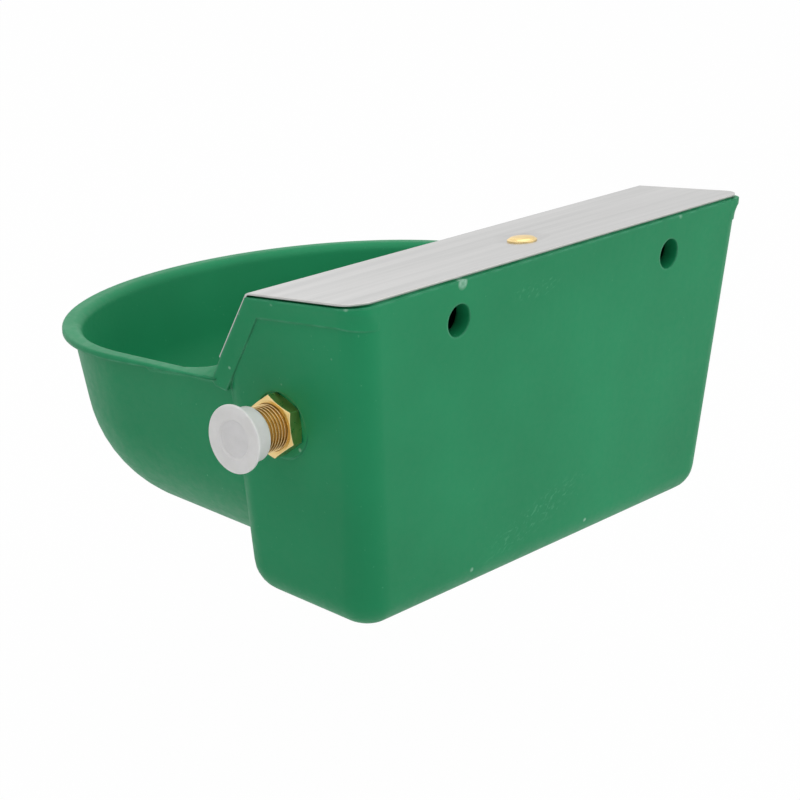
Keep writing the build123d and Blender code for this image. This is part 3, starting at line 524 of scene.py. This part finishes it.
def ramp_solid(side):
    """One ramp: highest inside the bowl, level with the rim at its outer edge."""
    inner_x = RIM_HALF_WIDTH - LIP_OUT - WALL
    stations = (
        (inner_x, SKIRT_END_Z - INNER_ROUND / 4, 2 * INNER_ROUND, RAMP_SINK),
        (inner_x + INNER_ROUND / 4, SKIRT_END_Z, INNER_ROUND, INNER_ROUND / 2),
        (RIM_HALF_WIDTH - LIP_ROUND, FOOT_Z + MIN_R, 2 * MIN_R, MIN_R),
    )
    rings = []
    for x, crest_z, depth, sunk in stations:
        rings.append([(side * x, y, z) for y, z in ramp_outline(crest_z, depth, sunk)])
    return lofted("ramp", rings)


BEAD_HEIGHT = 0.0009
BEAD_INSET = 0.0024
BOLT_SPACING = 0.159
BOLT_HOLE_R = 0.0075
BOLT_BOSS_R = 0.014
BOLT_BOSS_DEPTH = 0.008
WINDOW_WIDTH = 0.1
WINDOW_HEIGHT = 0.028
WINDOW_CORNER_R = 0.008
WINDOW_SILL = 0.002
PILLAR_R = 0.01
SCREW_Y = -0.029
INSERT_R = 0.005
INSERT_LENGTH = 0.014
INLET_Y = -0.048
INLET_Z = -0.046
TAIL_R = 0.0103
SEAT_R = 0.016
SPOT_R = 0.0145
SEAT_THICKNESS = 0.007
NUT_SEAT_X = side_x(INLET_Z)
NICK = Vector((0.0784, 0, 0.0167))
NICK_SIZE = 0.0024
NICK_BACK = ((-1, 0.5, 1), (1, 0.5, 1), (0.2, 0.5, -1.2))
NICK_FRONT = ((-0.5, -0.5, 1), (0.6, -0.5, 1), (0.15, -0.5, 0.2))
BODY_CREASE = math.radians(28)
roof_normal = Vector((0, -math.sin(ROOF_SLOPE), math.cos(ROOF_SLOPE)))
screw_foot = Vector((0, SCREW_Y, roof_z(SCREW_Y)))


def moulding():
    """The whole moulding: bowl, lip and chamber joined and hollowed, then trimmed and drilled."""
    hollow = chamber_solid(WALL)
    pillar = [(-PILLAR_R, OVER), (PILLAR_R, OVER)]
    pillar += arc((0, SCREW_Y), PILLAR_R, 0, -math.pi, 2 * ROUND_STEPS)
    pillar_rings = [[(x, y, z) for x, y in pillar] for z in (BASE_Z, TOP_Z + OVER)]
    combined(hollow, lofted("pillar", pillar_rings))
    for side in (-1, 1):
        bolt = (side * BOLT_SPACING / 2, OVER, 0)
        combined(hollow, rod("boss", bolt, (0, -OVER - BOLT_BOSS_DEPTH, 0), BOLT_BOSS_R))
    body = combined(bowl_solid(0, 0), lip_solid(), "UNION")
    combined(body, bowl_solid(WALL, INNER_ROUND))
    combined(body, chamber_solid(0), "UNION")
    for side in (-1, 1):
        combined(body, flare_solid(side), "UNION")
    combined(body, hollow)
    inwards = (-SEAT_THICKNESS, 0, 0)
    seat = (NUT_SEAT_X, INLET_Y, INLET_Z)
    combined(body, rod("seat", seat, inwards, SEAT_R), "UNION")
    combined(body, rod("spot", seat, (SEAT_THICKNESS, 0, 0), SPOT_R))
    combined(body, rod("bore", (NUT_SEAT_X + OVER, INLET_Y, INLET_Z), (-3 * OVER, 0, 0), TAIL_R + MIN_R))
    bead = lofted("bead", [chamber_ring(z, BEAD_INSET) for z in (BASE_Z, TOP_Z + 2 * OVER)])
    combined(bead, chamber_solid(WALL))
    combined(body, combined(above_edges(0), bead))
    combined(body, above_edges(BEAD_HEIGHT))
    for side in (-1, 1):
        combined(body, ramp_solid(side), "UNION")
        bolt = (side * BOLT_SPACING / 2, OVER, 0)
        combined(body, rod("bolt_hole", bolt, (0, -2 * OVER, 0), BOLT_HOLE_R))
    window_z = RIM_Z - BOWL_DEPTH + WALL + WINDOW_SILL
    window_top = window_z + WINDOW_HEIGHT
    flat = rounded_plan(WINDOW_WIDTH / 2, window_z, window_top, WINDOW_CORNER_R, 0)
    window_ends = (-TOP_DEPTH - OVER, -TOP_DEPTH + 2 * BASE_EDGE_R)
    combined(body, lofted("window", [[(x, y, z) for x, z, _ in flat] for y in window_ends]))
    bore_top = screw_foot + roof_normal * OVER
    bore = -roof_normal * (OVER + INSERT_LENGTH)
    combined(body, rod("insert_bore", bore_top, bore, INSERT_R))
    nick_rings = [[NICK + Vector(p) * NICK_SIZE for p in face] for face in (NICK_BACK, NICK_FRONT)]
    combined(body, lofted("nick", nick_rings))
    body.name = "moulded_body"
    body.data.name = "moulded_body"
    return smoothed(body, BODY_CREASE)


def noise(tree, where, scale, detail=4, roughness=0.5, distortion=0.0):
    """A noise texture on object coordinates."""
    node = tree.nodes.new("ShaderNodeTexNoise")
    node.inputs["Scale"].default_value = scale
    node.inputs["Detail"].default_value = detail
    node.inputs["Roughness"].default_value = roughness
    node.inputs["Distortion"].default_value = distortion
    tree.links.new(where, node.inputs["Vector"])
    return node.outputs["Fac"]


def shaded(tree, value, source, dark, light):
    """A colour from dark to light as a value goes through a range."""
    node = tree.nodes.new("ShaderNodeValToRGB")
    for element, position, colour in zip(node.color_ramp.elements, source, (dark, light)):
        element.position = position
        element.color = (*colour, 1)
    tree.links.new(value, node.inputs["Fac"])
    return node.outputs["Color"]


def stretched(tree, scale=(1, 1, 1), place=(0, 0, 0), turn=(0, 0, 0)):
    """Object coordinates moved by a place, turned, and stretched by a factor for each axis."""
    coordinates = tree.nodes.new("ShaderNodeTexCoord")
    mapping = tree.nodes.new("ShaderNodeMapping")
    mapping.vector_type = "TEXTURE"
    mapping.inputs["Location"].default_value = place
    mapping.inputs["Rotation"].default_value = turn
    mapping.inputs["Scale"].default_value = [1 / s for s in scale]
    tree.links.new(coordinates.outputs["Object"], mapping.inputs["Vector"])
    return mapping.outputs["Vector"]


def patch(tree, place, size, soft=0.5, turn=(0, 0, 0)):
    """One inside an ellipsoid about a place, fading to zero at its surface."""
    where = stretched(tree, [1 / s for s in size], place, turn)
    length = tree.nodes.new("ShaderNodeVectorMath")
    length.operation = "LENGTH"
    tree.links.new(where, length.inputs[0])
    return span(tree, length.outputs["Value"], (soft, 1), (1, 0))


MIX_BASE = 6
MIX_TINT = 7
MIX_COLOUR = 2


def tinted(tree, base, colour, share):
    """A colour mixed into another by a share."""
    node = tree.nodes.new("ShaderNodeMix")
    node.data_type = "RGBA"
    tree.links.new(share, node.inputs["Factor"])
    tree.links.new(base, node.inputs[MIX_BASE])
    node.inputs[MIX_TINT].default_value = (*colour, 1)
    return node.outputs[MIX_COLOUR]


BEVEL_SAMPLES = 6
EDGE_LIKENESS = (0.9, 0.998)


def softened(tree, radius):
    """Normals rounded over the edges."""
    rounded = tree.nodes.new("ShaderNodeBevel")
    rounded.samples = BEVEL_SAMPLES
    rounded.inputs["Radius"].default_value = radius
    return rounded.outputs["Normal"]


def at_edges(tree, rounded):
    """One where rounded normals turn away from the face's own, zero on flat faces."""
    true = tree.nodes.new("ShaderNodeNewGeometry")
    likeness = tree.nodes.new("ShaderNodeVectorMath")
    likeness.operation = "DOT_PRODUCT"
    tree.links.new(rounded, likeness.inputs[0])
    tree.links.new(true.outputs["Normal"], likeness.inputs[1])
    return span(tree, likeness.outputs["Value"], EDGE_LIKENESS, (1, 0))


def relief(tree, shader, heights, normal=None):
    """Bumps from (height, (strength, distance)) pairs, one on the other, into the shader."""
    for height, (strength, distance) in heights:
        bump = tree.nodes.new("ShaderNodeBump")
        bump.inputs["Strength"].default_value = strength
        bump.inputs["Distance"].default_value = distance
        tree.links.new(height, bump.inputs["Height"])
        if normal is not None:
            tree.links.new(normal, bump.inputs["Normal"])
        normal = bump.outputs["Normal"]
    tree.links.new(normal, shader.inputs["Normal"])


def stand_in(piece, material, body, node):
    """A modelled piece gets its material, rides on its body and stands for a CAD node."""
    piece.data.materials.clear()
    piece.data.materials.append(material)
    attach(piece, body)
    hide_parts(node)


GREEN_DEEP = (0.009, 0.240, 0.094)
GREEN_LIGHT = (0.013, 0.292, 0.118)
GREEN_WORN_AND_HIGHLIT = (0.09, 0.42, 0.23)
GREEN_CHIPPED = (0.34, 0.62, 0.46)
GREEN_ROUGHNESS = (0.42, 0.55)
GREEN_SPECULAR = 0.2
NOISE_RANGE = (0.3, 0.7)
HAZE_PER_M = 11
HAZE_BUMP = (0.2, 0.004)
GRAIN_PER_M = 260
GRAIN_BUMP = (0.12, 0.0002)
PITS_PER_M = 620
PITS_BUMP = (0.08, 0.0001)
PITS_RANGE = (0.72, 0.78)
PITS_SHARE = (0, 0.5)
EDGE_R = 0.0016
RUBBED_PER_M = 130
RUBBED_RANGE = (0.38, 0.62)
RUBBED_SHARE = (0.15, 0.85)
SCRATCHES_PER_M = (260, 60, 700)
SCRATCH_TURN = (0, 0.5, 0)
SCRATCH_RANGE = (0.55, 0.66)
SCRATCH_SHARE = (0, 0.4)
UPPER_SCUFF = {"place": (0.0238, 0, 0.0037), "size": (0.022, 0.004, 0.005)}
LOWER_SCUFF = {"place": (0.0132, 0, -0.1103), "size": (0.046, 0.006, 0.009), "turn": (0, 0.28, 0)}
CHIP_RANGE = (0.35, 0.6)
CHIP_SHARE = (0.35, 0.95)
NICK_STAIN = (0.0034, 0.004, 0.0034)
NICK_FADE = 0.6
SPECK_FADE = 0.4
SPECKS = (
    ((0.1444, -0.0494, 0.0090), 0.0012),
    ((0.1452, -0.0073, 0.0173), 0.0016),
    ((0.1436, -0.0691, 0.0000), 0.0012),
    ((0.1409, -0.0778, -0.0279), 0.0010),
    ((0.1409, -0.0468, -0.0274), 0.0010),
    ((0.1383, -0.0363, -0.0549), 0.0011),
    ((0.1428, -0.0167, -0.0078), 0.0010),
    ((0.1430, -0.0269, -0.0060), 0.0009),
    ((0.1433, -0.0205, -0.0030), 0.0009),
    ((-0.087, 0.0, 0.0175), 0.0016),
    ((0.0596, 0.0, -0.1240), 0.0014),
    ((-0.027, 0.0, -0.1246), 0.0013),
)
green, tree, shader = new_material("green_polyethylene")
plain = stretched(tree)
haze = noise(tree, plain, HAZE_PER_M, detail=3)
grain = noise(tree, plain, GRAIN_PER_M, detail=5, roughness=0.6)
pits = noise(tree, plain, PITS_PER_M, detail=2)
edge_normal = softened(tree, EDGE_R)
colour = shaded(tree, haze, NOISE_RANGE, GREEN_DEEP, GREEN_LIGHT)
# Edges are lightened: a painted highlight along the rounded edges, broken into specks like rubbed wear.
# The same light green also marks the real pits and scuffs.
rubbed = noise(tree, plain, RUBBED_PER_M, detail=5)
rubbed = span(tree, rubbed, RUBBED_RANGE, RUBBED_SHARE)
edge_highlight_and_wear = joined(tree, "MULTIPLY", at_edges(tree, edge_normal), rubbed)
colour = tinted(tree, colour, GREEN_WORN_AND_HIGHLIT, edge_highlight_and_wear)
colour = tinted(tree, colour, GREEN_WORN_AND_HIGHLIT, span(tree, pits, PITS_RANGE, PITS_SHARE))
scratched = stretched(tree, SCRATCHES_PER_M, turn=SCRATCH_TURN)
scratches = noise(tree, scratched, 1.0, detail=3, distortion=0.6)
scuffed = joined(tree, "MAXIMUM", patch(tree, **UPPER_SCUFF), patch(tree, **LOWER_SCUFF))
scratches = span(tree, scratches, SCRATCH_RANGE, SCRATCH_SHARE)
scuff = joined(tree, "MULTIPLY", scratches, scuffed)
colour = tinted(tree, colour, GREEN_WORN_AND_HIGHLIT, scuff)
nicked = patch(tree, NICK, NICK_STAIN, NICK_FADE)
for place, size in SPECKS:
    nicked = joined(tree, "MAXIMUM", nicked, patch(tree, place, (size, size, size), SPECK_FADE))
chipped = joined(tree, "MULTIPLY", nicked, span(tree, grain, CHIP_RANGE, CHIP_SHARE))
colour = tinted(tree, colour, GREEN_CHIPPED, chipped)
tree.links.new(colour, shader.inputs["Base Color"])
tree.links.new(span(tree, grain, NOISE_RANGE, GREEN_ROUGHNESS), shader.inputs["Roughness"])
shader.inputs["Specular IOR Level"].default_value = GREEN_SPECULAR
bumps = [(haze, HAZE_BUMP), (grain, GRAIN_BUMP), (pits, PITS_BUMP)]
relief(tree, shader, bumps, edge_normal)
stand_in(moulding(), green, "base", "bowl_body")


# ---------------------------------------------------------------- lid
# A folded stainless sheet over the chamber, held by one screw: a sloping top, a slanted skirt in
# front and a pressed dimple. The face is satin with faint streaks, and its edges carry a painted
# highlight.
SHEET = 0.001
SKIRT_GAP = 0.0001
LID_BACK_GAP = 0.002
LID_OVERHANG = 0.0006
LID_CORNER_R = 0.011
LID_BEND_R = 0.003
DIMPLE_R = 0.015
DIMPLE_FLAT_R = 0.009
DIMPLE_SKIM = 1.02
SCREW_R = 0.003
SHEET_CREASE = math.radians(35)
CORNER_STEPS = 12


def bent(corner, before, after, radius, steps=6):
    """Points of the round at a corner between the directions of two neighbours."""
    corner = Vector(corner)
    back = (Vector(before) - corner).normalized()
    on = (Vector(after) - corner).normalized()
    half_turn = math.acos(back.dot(on)) / 2
    reach = radius / math.tan(half_turn)
    start, end = corner + back * reach, corner + on * reach
    centre = corner + (back + on).normalized() * radius / math.sin(half_turn)
    first = math.atan2(*(start - centre).yx)
    sweep = math.remainder(math.atan2(*(end - centre).yx) - first, 2 * math.pi)
    return arc(centre, radius, first, first + sweep, steps)


def lid_sheet():
    """The folded sheet, cut to the lid's outline and pressed for the screw."""
    end_y = slant_y(SKIRT_END_Z, SKIRT_GAP)
    end = (end_y, SKIRT_END_Z)
    outer_end = (end_y - SHEET * math.cos(SLANT_ANGLE), SKIRT_END_Z + SHEET * math.sin(SLANT_ANGLE))
    inner_back = (0, roof_z(0, BEAD_HEIGHT))
    outer_back = (0, roof_z(0, BEAD_HEIGHT + SHEET))
    inner = bent(shoulder(BEAD_HEIGHT, SKIRT_GAP), inner_back, end, LID_BEND_R - SHEET)
    outer = bent(shoulder(BEAD_HEIGHT + SHEET, SKIRT_GAP + SHEET), outer_end, outer_back, LID_BEND_R)
    outline = [inner_back, *inner, end, outer_end, *outer, outer_back]
    reach = FAR / 2 + OVER
    sheet = prism("lid_sheet", outline, -reach, reach)
    front = -LID_BACK_GAP - 2 * TOP_DEPTH
    limit = []
    for z in (BASE_Z, TOP_Z + OVER):
        half = side_x(z) + LID_OVERHANG
        limit.append(rounded_plan(half, front, -LID_BACK_GAP, LID_CORNER_R, z, CORNER_STEPS))
    combined(sheet, lofted("limit", limit), "INTERSECT")
    press = roof_normal * BEAD_HEIGHT
    rise = roof_normal * SHEET
    combined(sheet, rod("dimple", screw_foot, press, DIMPLE_FLAT_R + SHEET, DIMPLE_R + SHEET), "UNION")
    combined(sheet, rod("pressed", screw_foot + rise, press * DIMPLE_SKIM, DIMPLE_FLAT_R, DIMPLE_R))
    combined(sheet, rod("hole", screw_foot - rise, rise * 4, SCREW_R + MIN_R))
    sheet.data.name = "lid_sheet"
    return smoothed(sheet, SHEET_CREASE)


STEEL_DARK = (0.47, 0.47, 0.465)
STEEL_LIGHT = (0.57, 0.565, 0.56)
STEEL_EDGE_HIGHLIGHT = (0.68, 0.66, 0.62)
STEEL_ROUGHNESS = (0.34, 0.46)
STREAKS_PER_M = (5, 190, 190)
STREAKS_BUMP = (0.06, 0.0002)
CLOUDS_PER_M = (9, 30, 30)
CLOUDS_BUMP = (0.1, 0.001)
METAL_EDGE_R = 0.0004
steel, tree, shader = new_material("satin_stainless")
streaks = noise(tree, stretched(tree, STREAKS_PER_M), 1.0, detail=6, roughness=0.65)
clouds = noise(tree, stretched(tree, CLOUDS_PER_M), 1.0, detail=3)
edge_normal = softened(tree, METAL_EDGE_R)
colour = shaded(tree, streaks, NOISE_RANGE, STEEL_DARK, STEEL_LIGHT)
# A painted highlight lightens the sheet's edges.
colour = tinted(tree, colour, STEEL_EDGE_HIGHLIGHT, at_edges(tree, edge_normal))
tree.links.new(colour, shader.inputs["Base Color"])
shader.inputs["Metallic"].default_value = 1.0
tree.links.new(span(tree, clouds, NOISE_RANGE, STEEL_ROUGHNESS), shader.inputs["Roughness"])
relief(tree, shader, [(streaks, STREAKS_BUMP), (clouds, CLOUDS_BUMP)], edge_normal)
stand_in(lid_sheet(), steel, "lid", "lid")


# ---------------------------------------------------------------- lid screw
# A brass screw with a low oval head, turned in one piece. It goes through the hole in the lid's
# dimple into the brass insert in the pillar, and holds the lid down.
SCREW_LENGTH = 0.016
SCREW_HEAD_R = 0.007
SCREW_HEAD_RIM = 0.0008
SCREW_DOME_R = 0.0062
SCREW_DOME_HEIGHT = 0.0012
DOME_STEPS = 10


def turned(name, profile, place, axis, steps=64):
    """A round piece from a profile of (radius, height) points about an axis."""
    turn = Vector(axis).to_track_quat("Z", "Y").to_matrix()
    spokes = arc((0, 0), 1, 0, 2 * math.pi, steps)[:-1]
    rings = [[Vector(place) + turn @ Vector((x * r, y * r, h)) for x, y in spokes] for r, h in profile]
    return lofted(name, rings)


def screw_profile():
    """Radii and heights from the shank's end, over the head's rim, to the top of the dome."""
    shank_end = 2 * MIN_R - SCREW_LENGTH
    dome_low = SCREW_HEAD_RIM + (SCREW_HEAD_R - SCREW_DOME_R) / 2
    profile = [(SCREW_R - MIN_R, MIN_R - SCREW_LENGTH), (SCREW_R, shank_end), (SCREW_R, 0)]
    profile += [(SCREW_HEAD_R, 0), (SCREW_HEAD_R, SCREW_HEAD_RIM), (SCREW_DOME_R, dome_low)]
    for k in range(1, DOME_STEPS):
        turn = math.pi / 2 * k / DOME_STEPS
        height = dome_low + SCREW_DOME_HEIGHT * math.sin(turn)
        profile.append((SCREW_DOME_R * math.cos(turn), height))
    return profile


BRASS_DULL = (0.72, 0.52, 0.21)
BRASS_CLEAN = (0.80, 0.60, 0.27)
BRASS_EDGE_HIGHLIGHT = (0.92, 0.76, 0.44)
BRASS_ROUGHNESS = (0.26, 0.38)
TOOL_MARKS_PER_M = 420
TOOL_MARKS_BUMP = (0.06, 0.0001)
TARNISH_PER_M = 90
NOISE_MIDDLE = (0.35, 0.65)
TURNED_CREASE = math.radians(35)
brass, tree, shader = new_material("turned_brass")
tool_marks = noise(tree, stretched(tree), TOOL_MARKS_PER_M, detail=4)
tarnish = noise(tree, stretched(tree), TARNISH_PER_M, detail=3)
edge_normal = softened(tree, METAL_EDGE_R)
colour = shaded(tree, tarnish, NOISE_MIDDLE, BRASS_DULL, BRASS_CLEAN)
# A painted highlight lightens the edges.
colour = tinted(tree, colour, BRASS_EDGE_HIGHLIGHT, at_edges(tree, edge_normal))
tree.links.new(colour, shader.inputs["Base Color"])
shader.inputs["Metallic"].default_value = 1.0
tree.links.new(span(tree, tool_marks, NOISE_RANGE, BRASS_ROUGHNESS), shader.inputs["Roughness"])
relief(tree, shader, [(tool_marks, TOOL_MARKS_BUMP)], edge_normal)
screw = turned("lid_screw_turned", screw_profile(), screw_foot + roof_normal * SHEET, roof_normal)
stand_in(smoothed(screw, TURNED_CREASE), brass, "lid_screw", "lid_screw")


# ---------------------------------------------------------------- valve body with its threaded tail
# The valve is machined from brass bar. Its tail passes through the side wall, where a lock nut
# holds it, and has a half-inch pipe thread: one spiral ridge round the tail's root.
THREAD_PITCH = 0.001814
THREAD_ROOT_R = 0.0093
THREAD_DEPTH = 0.00098
THREAD_ROOT_WIDTH = 0.0015
THREAD_CREST_WIDTH = 0.0006
THREAD_START_X = NUT_SEAT_X + 0.001
THREAD_END_X = NUT_SEAT_X + 0.0262
THREAD_STEPS = 48
THREAD_CREASE = math.radians(30)


def merged_copy(node, name):
    """A copy of a CAD node's mesh, its loose triangles merged."""
    mesh = nodes[node].data.copy()
    mesh.name = name
    form = bmesh.new()
    form.from_mesh(mesh)
    bmesh.ops.remove_doubles(form, verts=form.verts, dist=MERGE_DISTANCE)
    form.to_mesh(mesh)
    form.free()
    piece = bpy.data.objects.new(name, mesh)
    bpy.context.scene.collection.objects.link(piece)
    return piece


def thread_tree(material):
    """A node tree that winds a ridge round the X axis, with named inputs for its sizes."""
    tree = bpy.data.node_groups.new("pipe_thread", "GeometryNodeTree")
    tree.is_modifier = True
    tree.interface.new_socket("Geometry", in_out="INPUT", socket_type="NodeSocketGeometry")
    inputs = {}
    for name in ("Pitch", "Length", "Radius", "Depth", "Root width", "Crest width", "Start"):
        socket = tree.interface.new_socket(name, in_out="INPUT", socket_type="NodeSocketFloat")
        inputs[name] = socket.identifier
    tree.interface.new_socket("Geometry", in_out="OUTPUT", socket_type="NodeSocketGeometry")
    given = tree.nodes.new("NodeGroupInput")
    turns = tree.nodes.new("ShaderNodeMath")
    turns.operation = "DIVIDE"
    spiral = tree.nodes.new("GeometryNodeCurveSpiral")
    spiral.inputs["Resolution"].default_value = THREAD_STEPS
    upright = tree.nodes.new("GeometryNodeSetCurveNormal")
    upright.mode = "Z_UP"
    section = tree.nodes.new("GeometryNodeCurvePrimitiveQuadrilateral")
    section.mode = "TRAPEZOID"
    section.inputs["Offset"].default_value = 0
    wound = tree.nodes.new("GeometryNodeCurveToMesh")
    wound.inputs["Fill Caps"].default_value = True
    place = tree.nodes.new("GeometryNodeTransform")
    place.inputs["Rotation"].default_value = (0, math.pi / 2, 0)
    start = tree.nodes.new("ShaderNodeCombineXYZ")
    start.inputs["Y"].default_value = INLET_Y
    start.inputs["Z"].default_value = INLET_Z
    real = tree.nodes.new("GeometryNodeRealizeInstances")
    finish = tree.nodes.new("GeometryNodeSetMaterial")
    finish.inputs["Material"].default_value = material
    output = tree.nodes.new("NodeGroupOutput")
    for socket in ("Start Radius", "End Radius"):
        tree.links.new(given.outputs["Radius"], spiral.inputs[socket])
    tree.links.new(given.outputs["Length"], turns.inputs[0])
    tree.links.new(given.outputs["Pitch"], turns.inputs[1])
    tree.links.new(turns.outputs[0], spiral.inputs["Rotations"])
    tree.links.new(given.outputs["Length"], spiral.inputs["Height"])
    tree.links.new(given.outputs["Depth"], section.inputs["Height"])
    tree.links.new(given.outputs["Root width"], section.inputs["Bottom Width"])
    tree.links.new(given.outputs["Crest width"], section.inputs["Top Width"])
    tree.links.new(given.outputs["Start"], start.inputs["X"])
    tree.links.new(start.outputs[0], place.inputs["Translation"])
    chain = (spiral, upright, wound, place, real, finish, output)
    for before, after in zip(chain, chain[1:]):
        tree.links.new(before.outputs[0], after.inputs[0])
    tree.links.new(section.outputs[0], wound.inputs["Profile Curve"])
    return tree, inputs


def turned_down(piece):
    """A valve body with its tail turned down to the thread's root, from the first turn on."""
    form = bmesh.new()
    form.from_mesh(piece.data)
    for cut_x in (THREAD_START_X - MIN_R, THREAD_START_X):
        everything = form.verts[:] + form.edges[:] + form.faces[:]
        bmesh.ops.bisect_plane(form, geom=everything, plane_co=(cut_x, 0, 0), plane_no=(1, 0, 0))
    for vertex in form.verts:
        off_axis = Vector((0, vertex.co[1] - INLET_Y, vertex.co[2] - INLET_Z))
        if vertex.co[0] > THREAD_START_X - MIN_R / 2 and off_axis.length > THREAD_ROOT_R:
            shrunk = off_axis * THREAD_ROOT_R / off_axis.length
            vertex.co = (vertex.co[0], INLET_Y + shrunk[1], INLET_Z + shrunk[2])
    form.to_mesh(piece.data)
    form.free()
    return piece


def wound_thread(material):
    """The thread's ridge as a plain mesh, made by the node tree from the sizes above."""
    piece = bpy.data.objects.new("pipe_thread", bpy.data.meshes.new("pipe_thread"))
    bpy.context.scene.collection.objects.link(piece)
    winding = piece.modifiers.new("thread", "NODES")
    winding.node_group, inputs = thread_tree(material)
    sizes = {
        "Pitch": THREAD_PITCH,
        "Length": THREAD_END_X - THREAD_START_X,
        "Radius": THREAD_ROOT_R + THREAD_DEPTH / 2,
        "Depth": THREAD_DEPTH,
        "Root width": THREAD_ROOT_WIDTH,
        "Crest width": THREAD_CREST_WIDTH,
        "Start": THREAD_START_X,
    }
    for name, value in sizes.items():
        winding[inputs[name]] = value
    settle(piece)
    piece.data.set_sharp_from_angle(angle=THREAD_CREASE)
    return piece


valve = turned_down(merged_copy("valve_body", "threaded_valve_body"))
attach(wound_thread(brass), "base")
stand_in(smoothed(valve, TURNED_CREASE), brass, "base", "valve_body")


# ---------------------------------------------------------------- other brass parts
# The insert, lock nut, piston, end cap, lever and rod nuts are milled from brass bar or turned, and
# the float's rod is bent. They screw or slide into one another.
def dress(node, material):
    """A CAD node gets a material in place of its plain one."""
    piece = nodes[node]
    piece.data.materials.clear()
    piece.data.materials.append(material)


for name in ("lid_insert", "lock_nut", "valve_piston", "valve_end_cap"):
    dress(name, brass)
for name in ("float_lever", "float_rod", "rod_lock_nut", "float_nuts"):
    dress(name, brass)


# ---------------------------------------------------------------- transport cap
# A cap moulded in soft white polyethylene, slightly milky, with a faint ripple from its mould. It is
# pushed over the valve's tail and keeps the thread clean until the bowl is plumbed in.
WHITE_DULL = (0.80, 0.79, 0.78)
WHITE_BRIGHT = (0.86, 0.85, 0.845)
WHITE_ROUGHNESS = 0.38
MILKINESS = 0.25
MILK_DEPTH = (0.003, 0.003, 0.0026)
RIPPLES_PER_M = 140
RIPPLES_BUMP = (0.12, 0.0003)
CAP_EDGE_R = 0.0005
white, tree, shader = new_material("cap_polyethylene")
ripples = noise(tree, stretched(tree), RIPPLES_PER_M, detail=3)
colour = shaded(tree, ripples, NOISE_MIDDLE, WHITE_DULL, WHITE_BRIGHT)
tree.links.new(colour, shader.inputs["Base Color"])
shader.inputs["Roughness"].default_value = WHITE_ROUGHNESS
shader.inputs["Subsurface Weight"].default_value = MILKINESS
shader.inputs["Subsurface Radius"].default_value = MILK_DEPTH
shader.inputs["Subsurface Scale"].default_value = 1.0
relief(tree, shader, [(ripples, RIPPLES_BUMP)], softened(tree, CAP_EDGE_R))
dress("inlet_cap", white)


# ---------------------------------------------------------------- seals
# Black rubber, cut from sheet: the washer clamped under the valve's flange, and the disc pressed
# in the piston's face.
RUBBER_DARK = (0.015, 0.015, 0.015)
RUBBER_LIGHT = (0.03, 0.03, 0.03)
RUBBER_ROUGHNESS = (0.55, 0.7)
RUBBER_PER_M = 500
RUBBER_BUMP = (0.15, 0.0001)


def grained(tree, shader, per_metre, detail, dark, light, roughness):
    """A fine grain that varies the colour and the roughness of a plain finish a little."""
    grain = noise(tree, stretched(tree), per_metre, detail=detail)
    tree.links.new(shaded(tree, grain, NOISE_RANGE, dark, light), shader.inputs["Base Color"])
    tree.links.new(span(tree, grain, NOISE_RANGE, roughness), shader.inputs["Roughness"])
    return grain


rubber, tree, shader = new_material("black_rubber")
grain = grained(tree, shader, RUBBER_PER_M, 3, RUBBER_DARK, RUBBER_LIGHT, RUBBER_ROUGHNESS)
relief(tree, shader, [(grain, RUBBER_BUMP)])
for name in ("seal_washer", "piston_washer"):
    dress(name, rubber)


# ---------------------------------------------------------------- valve seat and float
# Natural nylon and polypropylene, slightly yellow, moulded smooth. The seat is pressed in the
# valve, and the float is two halves round a tube that its rod passes through.
NATURAL_DARK = (0.60, 0.58, 0.50)
NATURAL_LIGHT = (0.68, 0.66, 0.59)
NATURAL_ROUGHNESS = (0.36, 0.46)
NATURAL_PER_M = 80
NATURAL_BUMP = (0.08, 0.0003)
natural, tree, shader = new_material("natural_plastic")
grain = grained(tree, shader, NATURAL_PER_M, 4, NATURAL_DARK, NATURAL_LIGHT, NATURAL_ROUGHNESS)
relief(tree, shader, [(grain, NATURAL_BUMP)])
for name in ("valve_seat", "float_upper", "float_lower", "float_tube"):
    dress(name, natural)


# ---------------------------------------------------------------- lever pin and its clip
# Drawn stainless rod and wire, bright with fine draw marks. The pin is the float lever's pivot, and
# the clip through its end keeps it in the two ears of the valve.
DRAWN_DARK = (0.52, 0.52, 0.52)
DRAWN_LIGHT = (0.60, 0.60, 0.60)
DRAWN_ROUGHNESS = (0.2, 0.32)
DRAW_MARKS_PER_M = 600
pin_steel, tree, shader = new_material("drawn_stainless")
grained(tree, shader, DRAW_MARKS_PER_M, 3, DRAWN_DARK, DRAWN_LIGHT, DRAWN_ROUGHNESS)
shader.inputs["Metallic"].default_value = 1.0
for name in ("lever_pin", "pin_clip"):
    dress(name, pin_steel)

bpy.context.scene.view_settings.view_transform = "Standard"
